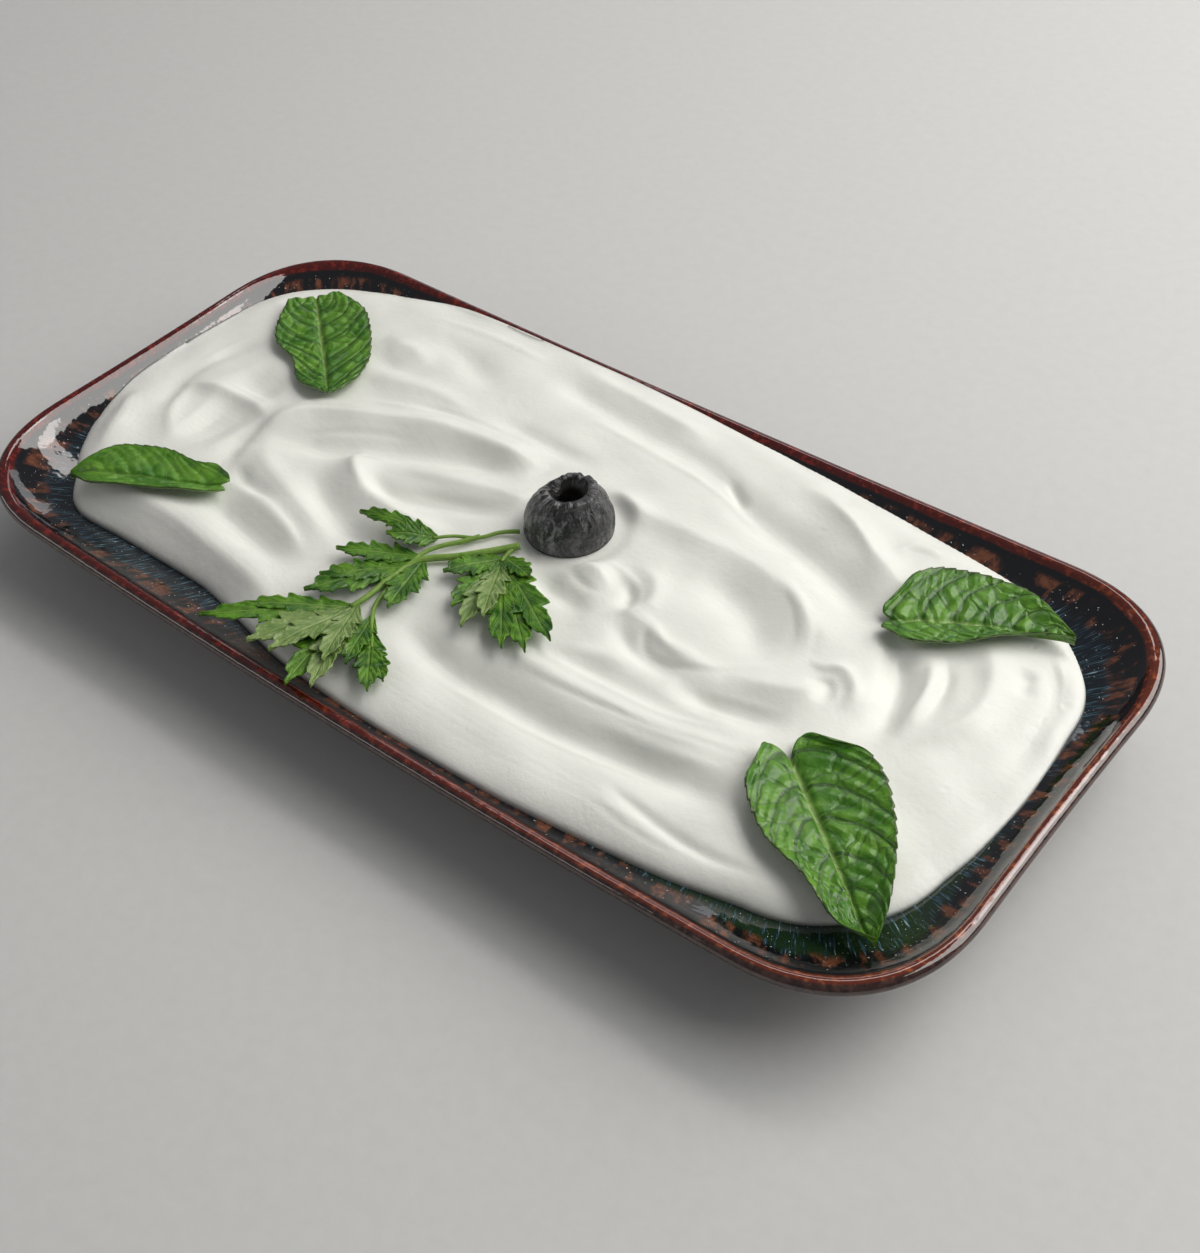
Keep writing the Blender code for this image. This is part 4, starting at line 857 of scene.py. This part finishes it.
def make_olive():
    """Half an olive, cut side down, wrinkled, with the pit's ragged hole at its top."""
    r, h, hole = OLIVE_RADIUS, OLIVE_HEIGHT, OLIVE_HOLE
    # (radius, height, height for the colours: above 1.05 is the flesh inside the hole)
    section = [(hole + 1.3, 0, 1.3), (0.93 * r, 0, 0.0), (0.985 * r, 0.04 * h, 0.1), (r, 0.18 * h, 0.2),
               (0.975 * r, 0.38 * h, 0.4), (0.89 * r, 0.58 * h, 0.6), (0.75 * r, 0.77 * h, 0.8),
               (0.57 * r, 0.92 * h, 0.95), (0.42 * r, 0.985 * h, 1.0), (hole + 0.35, 0.99 * h, 1.1),
               (hole, 0.95 * h, 1.3), (hole - 0.1, 0.7 * h, 1.3), (hole + 0.8, 0.35 * h, 1.3)]
    line = spline(section + [section[0]], 7)
    columns, rows = 144, len(line) - 1
    base = float(mound_z(*OLIVE_AT)) - PAD_SINK + PAD_GAP

    def rough(angles, heights, turns, *fractal):
        """Noise round the olive, closed on itself."""
        return np.array([noise.fractal(Vector((math.cos(t) * turns, math.sin(t) * turns, k)), *fractal)
                         for t, k in zip(angles, heights)])

    def place(i, j):
        p = line[j]
        a = 2 * math.pi * (i % columns) / columns
        lift = p[:, 1] / h
        nick = np.exp(-((a - math.pi) / NICK_WIDTH) ** 2) * smooth_step((lift - 0.6) / 0.4)
        radius, height = p[:, 0].copy(), p[:, 1].copy()
        skin = smooth_step((p[:, 0] - 4.0) / 4.5) * smooth_step((1.15 - p[:, 2]) / 0.15)
        skin = skin * smooth_step(lift / 0.1)
        bumps = rough(a, lift * 3, 3, 0.8, 2.2, 4) + 0.5 * rough(a, lift * 2.5, 8, 0.8, 2.2, 3)
        radius += WRINKLE * bumps * skin
        ragged = rough(a, np.full(len(a), 5.0), 1.3, 0.9, 2.0, 3)
        mouth = np.exp(-((lift - 1.0) / 0.18) ** 2) * smooth_step((7.0 - radius) / 2.5)
        radius += (1.3 + RAGGED * ragged) * mouth
        height += (RAGGED * ragged - 0.3) * mouth - NICK_DEPTH * nick
        x = OLIVE_AT[0] + radius * np.cos(a) + 0.7 * lift ** 2
        y = OLIVE_AT[1] + radius * np.sin(a)
        z = base + height + 0.35 * lift * np.cos(a)
        return x, y, z, np.column_stack([np.cos(a) * 0.3, np.sin(a) * 0.3, p[:, 2]])

    bm = grid_mesh(columns, rows, place, "olive_at")
    close_loops(bm)
    return finish_piece("black_olive_half", bm, olive_look(), "olive", "olive")


def plate(bm, thick):
    """Make a sheet into a thin solid, its second face straight below the first."""
    made = bmesh.ops.extrude_face_region(bm, geom=bm.faces[:], use_keep_orig=True)["geom"]
    low = [item for item in made if isinstance(item, bmesh.types.BMVert)]
    bmesh.ops.translate(bm, vec=(0, 0, -thick), verts=low)
    bmesh.ops.recalc_face_normals(bm, faces=bm.faces[:])


def leaf_place(base, tip, left, right, bow, lobe, s, t):
    """Plan position on a leaf: s runs 0 to 1 from base to tip, t from -1 to 1 across."""
    length = math.dist(base, tip)
    ax, ay = (tip[0] - base[0]) / length, (tip[1] - base[1]) / length
    at = np.linspace(0, 1, len(left))
    fine = np.linspace(0, 1, 41)
    wide = [np.interp(s, fine, spline(list(zip(at, side)), 8)[:, 1]) for side in (left, right)]
    half = np.where(t > 0, wide[0], wide[1]) * smooth_step(0.62 + s * 4)
    out = bow * 4 * s * (1 - s) + t * half
    run = (s - lobe * np.sin(math.pi * np.abs(t)) * (1 - s) ** 4) * length
    x, y = base[0] + ax * run - ay * out, base[1] + ay * run + ax * out
    return true_place(x, y, TOPPING_Z)


def make_mint(ground, name, base, tip, left, right, bow, lobe, fold, rise, look):
    columns, rows = 120, 60

    def place(i, j):
        s, t = i / columns, 2 * j / rows - 1
        teeth = TOOTH_DEPTH * ((s * MINT_TEETH) % 1.0 - 0.5)
        teeth = teeth * smooth_step(s / 0.1) * smooth_step((1 - s) / 0.1)
        x, y = leaf_place(base, tip, left, right, bow, lobe, s, t * (1 + teeth * np.abs(t) ** 3))
        low = ground.drape(x, y) + LEAF_THICK + LEAF_GAP
        table, back = grid_order(i, j, columns, rows, low)
        z = settle(table, 60).ravel()[back]
        phase = (s - np.abs(t) * VEIN_LEAN - t * t * VEIN_CURL) * VEINS + 0.5
        quilt = np.sin(math.pi * (phase % 1.0)) ** 0.7 * (1 - np.abs(t) ** 6)
        quilt = quilt * smooth_step(np.abs(t) / 0.12)
        groove = np.exp(-(t / 0.06) ** 2)
        ripple = 0.25 * (1 + np.sin(9 * s + 2.2 * t * t)) * t * t
        z = z + fold * t * t + rise * smooth_step((s - 0.6) / 0.4)
        z = z + ripple + 0.6 * quilt - 0.4 * groove + 0.3
        return x, y, z, np.column_stack([s, t, np.ones(len(s))])

    bm = grid_mesh(columns, rows, place, "leaf_at")
    plate(bm, LEAF_THICK)
    layer = bm.verts.layers.float_vector["leaf_at"]
    bm.normal_update()
    for vert in bm.verts:
        if vert.normal.z < -0.3:
            vert[layer] = (vert[layer][0], vert[layer][1], -1.0)
    return finish_piece(name + "_detailed", bm, look, "mint", name)


def stem_line(ground, radius, path):
    line = spline(path, 8)
    x, y = true_place(line[:, 0], line[:, 1], TOPPING_Z - 0.5)
    low = ground.drape(x, y) + GAP + radius
    z = settle(low[:, None].repeat(3, 1), 40)[:, 1]
    return np.column_stack([x, y, z])


def stem_mesh(radius, line):
    sides, count = 12, len(line) - 1
    run = np.gradient(line, axis=0)
    run[:, 2] = 0
    run /= np.linalg.norm(run, axis=1)[:, None]

    def place(i, j):
        a = 2 * math.pi * i / sides
        r = radius * (1 - 0.3 * j / count) * (1 + 0.06 * np.cos(5 * a))
        x = line[j, 0] - run[j, 1] * r * np.cos(a)
        y = line[j, 1] + run[j, 0] * r * np.cos(a)
        return x, y, line[j, 2] + r * np.sin(a), np.column_stack([j / count, a, np.full(len(a), 2.0)])

    bm = grid_mesh(sides, count, place, "leaf_at")
    close_loops(bm)
    return bm


def leaflet_place(joint, tip, wide, s, t):
    """Plan position on a parsley leaflet: s runs 0 to 1 from its joint to its tip, t from -1 to 1 across."""
    tx, ty = true_place(tip[0], tip[1], TOPPING_Z)
    length = math.hypot(tx - joint[0], ty - joint[1])
    ax, ay = (tx - joint[0]) / length, (ty - joint[1]) / length
    lobes = 0.80 + LOBES * ((s * PARSLEY_LOBES) % 1.0 - 0.35)
    half = 0.4 + wide * np.sin(math.pi * s ** 0.8) ** 0.7 * lobes
    side = t * half * (1 - 0.6 * smooth_step((s - 0.8) / 0.2))
    run = s * length + 0.35 * np.abs(side) * (1 - s)
    return joint[0] + ax * run - ay * side, joint[1] + ay * run + ax * side


def leaflet_mesh(ground, spec, lines):
    """One lobed and toothed blade, growing from the nearest stem."""
    base, tip, wide, rise, pale = spec
    rows, rays = 70, 16
    bx, by = true_place(base[0], base[1], TOPPING_Z - 0.5)
    joint = min((p for line in lines for p in line), key=lambda p: math.hypot(p[0] - bx, p[1] - by))

    def place(i, j):
        s, t = j / rows, 2 * i / rays - 1
        teeth = 0.14 * ((s * PARSLEY_TEETH) % 1.0 - 0.5) * smooth_step(s / 0.15) * np.abs(t) ** 2
        x, y = leaflet_place(joint, tip, wide, s, t * (1 + teeth))
        flat = np.maximum(ground.drape(x, y) + GAP + LEAFLET_THICK, joint[2])
        wave = np.cos(2 * math.pi * (s - PARSLEY_LEAN * np.abs(t)) * PARSLEY_VEINS)
        crease = 0.25 * wave * np.abs(t) * smooth_step(s / 0.1)
        z = flat + rise * smooth_step(s * 1.2) + (0.4 + 0.3 * pale) * t * t * s + crease
        z = np.where(j == 0, joint[2], z)
        return x, y, z, np.column_stack([s, t, np.full(len(s), 1.0 - pale)])

    bm = grid_mesh(rays, rows, place, "leaf_at")
    plate(bm, LEAFLET_THICK * 0.8)
    return bm


def make_parsley(ground):
    """One sprig: stems and leaflets grown into one another."""
    lines = [stem_line(ground, *stem) for stem in STEMS]
    parts = [stem_mesh(stem[0], line) for stem, line in zip(STEMS, lines)]
    parts += [leaflet_mesh(ground, spec, lines) for spec in LEAFLETS]
    bm = parts[0]
    for part in parts[1:]:
        join(bm, part)
    return finish_piece("parsley_sprig_detailed", bm, parsley_look(), "parsley", "parsley_sprig")


# ---------------------------------------------------------------- stage
AZIMUTH, ELEVATION, ROLL = 41.4517, 44.1673, -3.798
CAMERA_DISTANCE, LENS, SENSOR_WIDTH = 0.35648, 50.67, 36.0
CAMERA_TARGET = (0.02671, -0.0111, 0.0184)
FLOOR_HALF = 3.0
# lamps: name, azimuth, elevation, distance, width, height, tint
LAMPS = (
    ("key", 48, 42.5, 0.9, 0.95, 0.75, (1.0, 0.99, 0.955)),
    ("window", 92, 53, 1.2, 1.3, 0.18, (1.0, 0.94, 0.92)),
    ("wall", 116, 17, 1.8, 1.0, 0.4, (0.95, 0.97, 1.0)),
    ("strip", 222, 20, 1.6, 1.5, 0.35, (1.0, 0.95, 0.94)),
)


def make_camera():
    az, el, roll = (math.radians(v) for v in (AZIMUTH, ELEVATION, ROLL))
    back = Vector((math.sin(az) * math.cos(el), -math.cos(az) * math.cos(el), math.sin(el)))
    right = Vector((math.cos(az), math.sin(az), 0.0))
    up = back.cross(right)
    side = right * math.cos(roll) + up * math.sin(roll)
    top = up * math.cos(roll) - right * math.sin(roll)
    data = bpy.data.cameras.new("camera")
    data.lens, data.sensor_width, data.clip_start = LENS, SENSOR_WIDTH, 0.01
    camera = add_object("camera", data)
    place = Matrix((side, top, back)).transposed().to_4x4()
    place.translation = Vector(CAMERA_TARGET) + back * CAMERA_DISTANCE
    camera.matrix_world = place
    bpy.context.scene.camera = camera


def make_lamp(name, azimuth, elevation, distance, width, height, tint, power):
    """A rectangular soft light that faces the dish."""
    az, el = math.radians(azimuth), math.radians(elevation)
    data = bpy.data.lights.new(name, "AREA")
    data.shape, data.size, data.size_y = "RECTANGLE", width, height
    data.energy, data.color = power, tint
    away = Vector((math.cos(az) * math.cos(el), math.sin(az) * math.cos(el), math.sin(el)))
    turn = away.to_track_quat("Z", "Y").to_matrix().to_4x4()
    add_object(name, data).matrix_world = Matrix.Translation(away * distance) @ turn


def make_floor():
    bm = bmesh.new()
    bmesh.ops.create_grid(bm, x_segments=1, y_segments=1, size=FLOOR_HALF)
    mesh = to_mesh("floor", bm)
    look = Look("pale_floor", Roughness=0.9)
    grain = look.noise(look.place(), 300.0, 3.0, 0.6)
    shade = look.mix(grain, (0.60, 0.60, 0.59), (0.66, 0.66, 0.65))
    mesh.materials.append(look.set(Base_Color=shade))
    add_object("floor", mesh)


def make_world(strength):
    world = bpy.data.worlds.new("studio")
    world.use_nodes = True
    sky = world.node_tree.nodes["Background"]
    sky.inputs["Color"].default_value = (0.93, 0.96, 1.0, 1.0)
    sky.inputs["Strength"].default_value = strength
    bpy.context.scene.world = world


# ---------------------------------------------------------------- add-on
def dial(name, default, description, low=0.0, **limits):
    return bpy.props.FloatProperty(name=name, description=description, default=default, min=low, **limits)


class YogurtDishSizes(bpy.types.PropertyGroup):
    cell: dial("Yogurt cell", 0.65, "Size of the yogurt's mesh cells, in millimetres", low=0.4, max=4.0)


class StudioSettings(bpy.types.PropertyGroup):
    key_power: dial("Key light", 8.2, "Power of the soft key light, in watts")
    window_power: dial("Window", 2.9, "Power of the long light behind the dish, in watts")
    wall_power: dial("Wall", 1.5, "Power of the low light that the near wall mirrors, in watts")
    strip_power: dial("Strip light", 2.6, "Power of the strip by the near side, in watts")
    sky: dial("Sky", 0.15, "Strength of the even light from all round")


class DISH_OT_dish(bpy.types.Operator):
    """Build the glazed dish"""
    bl_idname = "yogurt_dish.dish"
    bl_label = "Glazed dish"

    def execute(self, context):
        make_dish()
        return {"FINISHED"}


class DISH_OT_yogurt(bpy.types.Operator):
    """Build the swirled yogurt"""
    bl_idname = "yogurt_dish.yogurt"
    bl_label = "Yogurt"

    def execute(self, context):
        make_yogurt(context.scene.yogurt_dish_sizes.cell)
        return {"FINISHED"}


class DISH_OT_toppings(bpy.types.Operator):
    """Lay the olive, the mint leaves and the parsley on the yogurt"""
    bl_idname = "yogurt_dish.toppings"
    bl_label = "Toppings"

    def execute(self, context):
        ground = Ground()
        make_olive()
        quilted, smooth = mint_look("quilted_mint", 1.0, 0.15), mint_look("smooth_mint", 0.45, 0.6)
        for leaf in LEAVES:
            make_mint(ground, *leaf, smooth if leaf[0] == "mint_leaf_left" else quilted)
        make_parsley(ground)
        return {"FINISHED"}


class DISH_OT_stage(bpy.types.Operator):
    """Set up the floor, the lights and the camera"""
    bl_idname = "yogurt_dish.stage"
    bl_label = "Floor, lights and camera"

    def execute(self, context):
        settings = context.scene.yogurt_dish_studio
        make_floor()
        make_camera()
        for lamp in LAMPS:
            make_lamp(*lamp, getattr(settings, lamp[0] + "_power"))
        make_world(settings.sky)
        context.scene.view_settings.view_transform = "Standard"
        return {"FINISHED"}


class DISH_PT_panel(bpy.types.Panel):
    """Buttons for each group of pieces"""
    bl_idname = "DISH_PT_panel"
    bl_label = "Yogurt dip"
    bl_space_type = "VIEW_3D"
    bl_region_type = "UI"
    bl_category = "Yogurt dip"

    def draw(self, context):
        column = self.layout.column()
        for name in ("yogurt_dish.dish", "yogurt_dish.yogurt", "yogurt_dish.toppings", "yogurt_dish.stage"):
            column.operator(name)
        column.prop(context.scene.yogurt_dish_sizes, "cell")
        for name in ("key_power", "window_power", "wall_power", "strip_power", "sky"):
            column.prop(context.scene.yogurt_dish_studio, name)


CLASSES = (YogurtDishSizes, StudioSettings, DISH_OT_dish, DISH_OT_yogurt, DISH_OT_toppings, DISH_OT_stage,
           DISH_PT_panel)


def register():
    for item in CLASSES:
        bpy.utils.register_class(item)
    bpy.types.Scene.yogurt_dish_sizes = bpy.props.PointerProperty(type=YogurtDishSizes)
    bpy.types.Scene.yogurt_dish_studio = bpy.props.PointerProperty(type=StudioSettings)


def unregister():
    del bpy.types.Scene.yogurt_dish_sizes
    del bpy.types.Scene.yogurt_dish_studio
    for item in reversed(CLASSES):
        bpy.utils.unregister_class(item)


def main():
    register()
    bpy.ops.yogurt_dish.dish()
    bpy.ops.yogurt_dish.yogurt()
    bpy.ops.yogurt_dish.toppings()
    bpy.ops.yogurt_dish.stage()


if __name__ == "__main__":
    main()
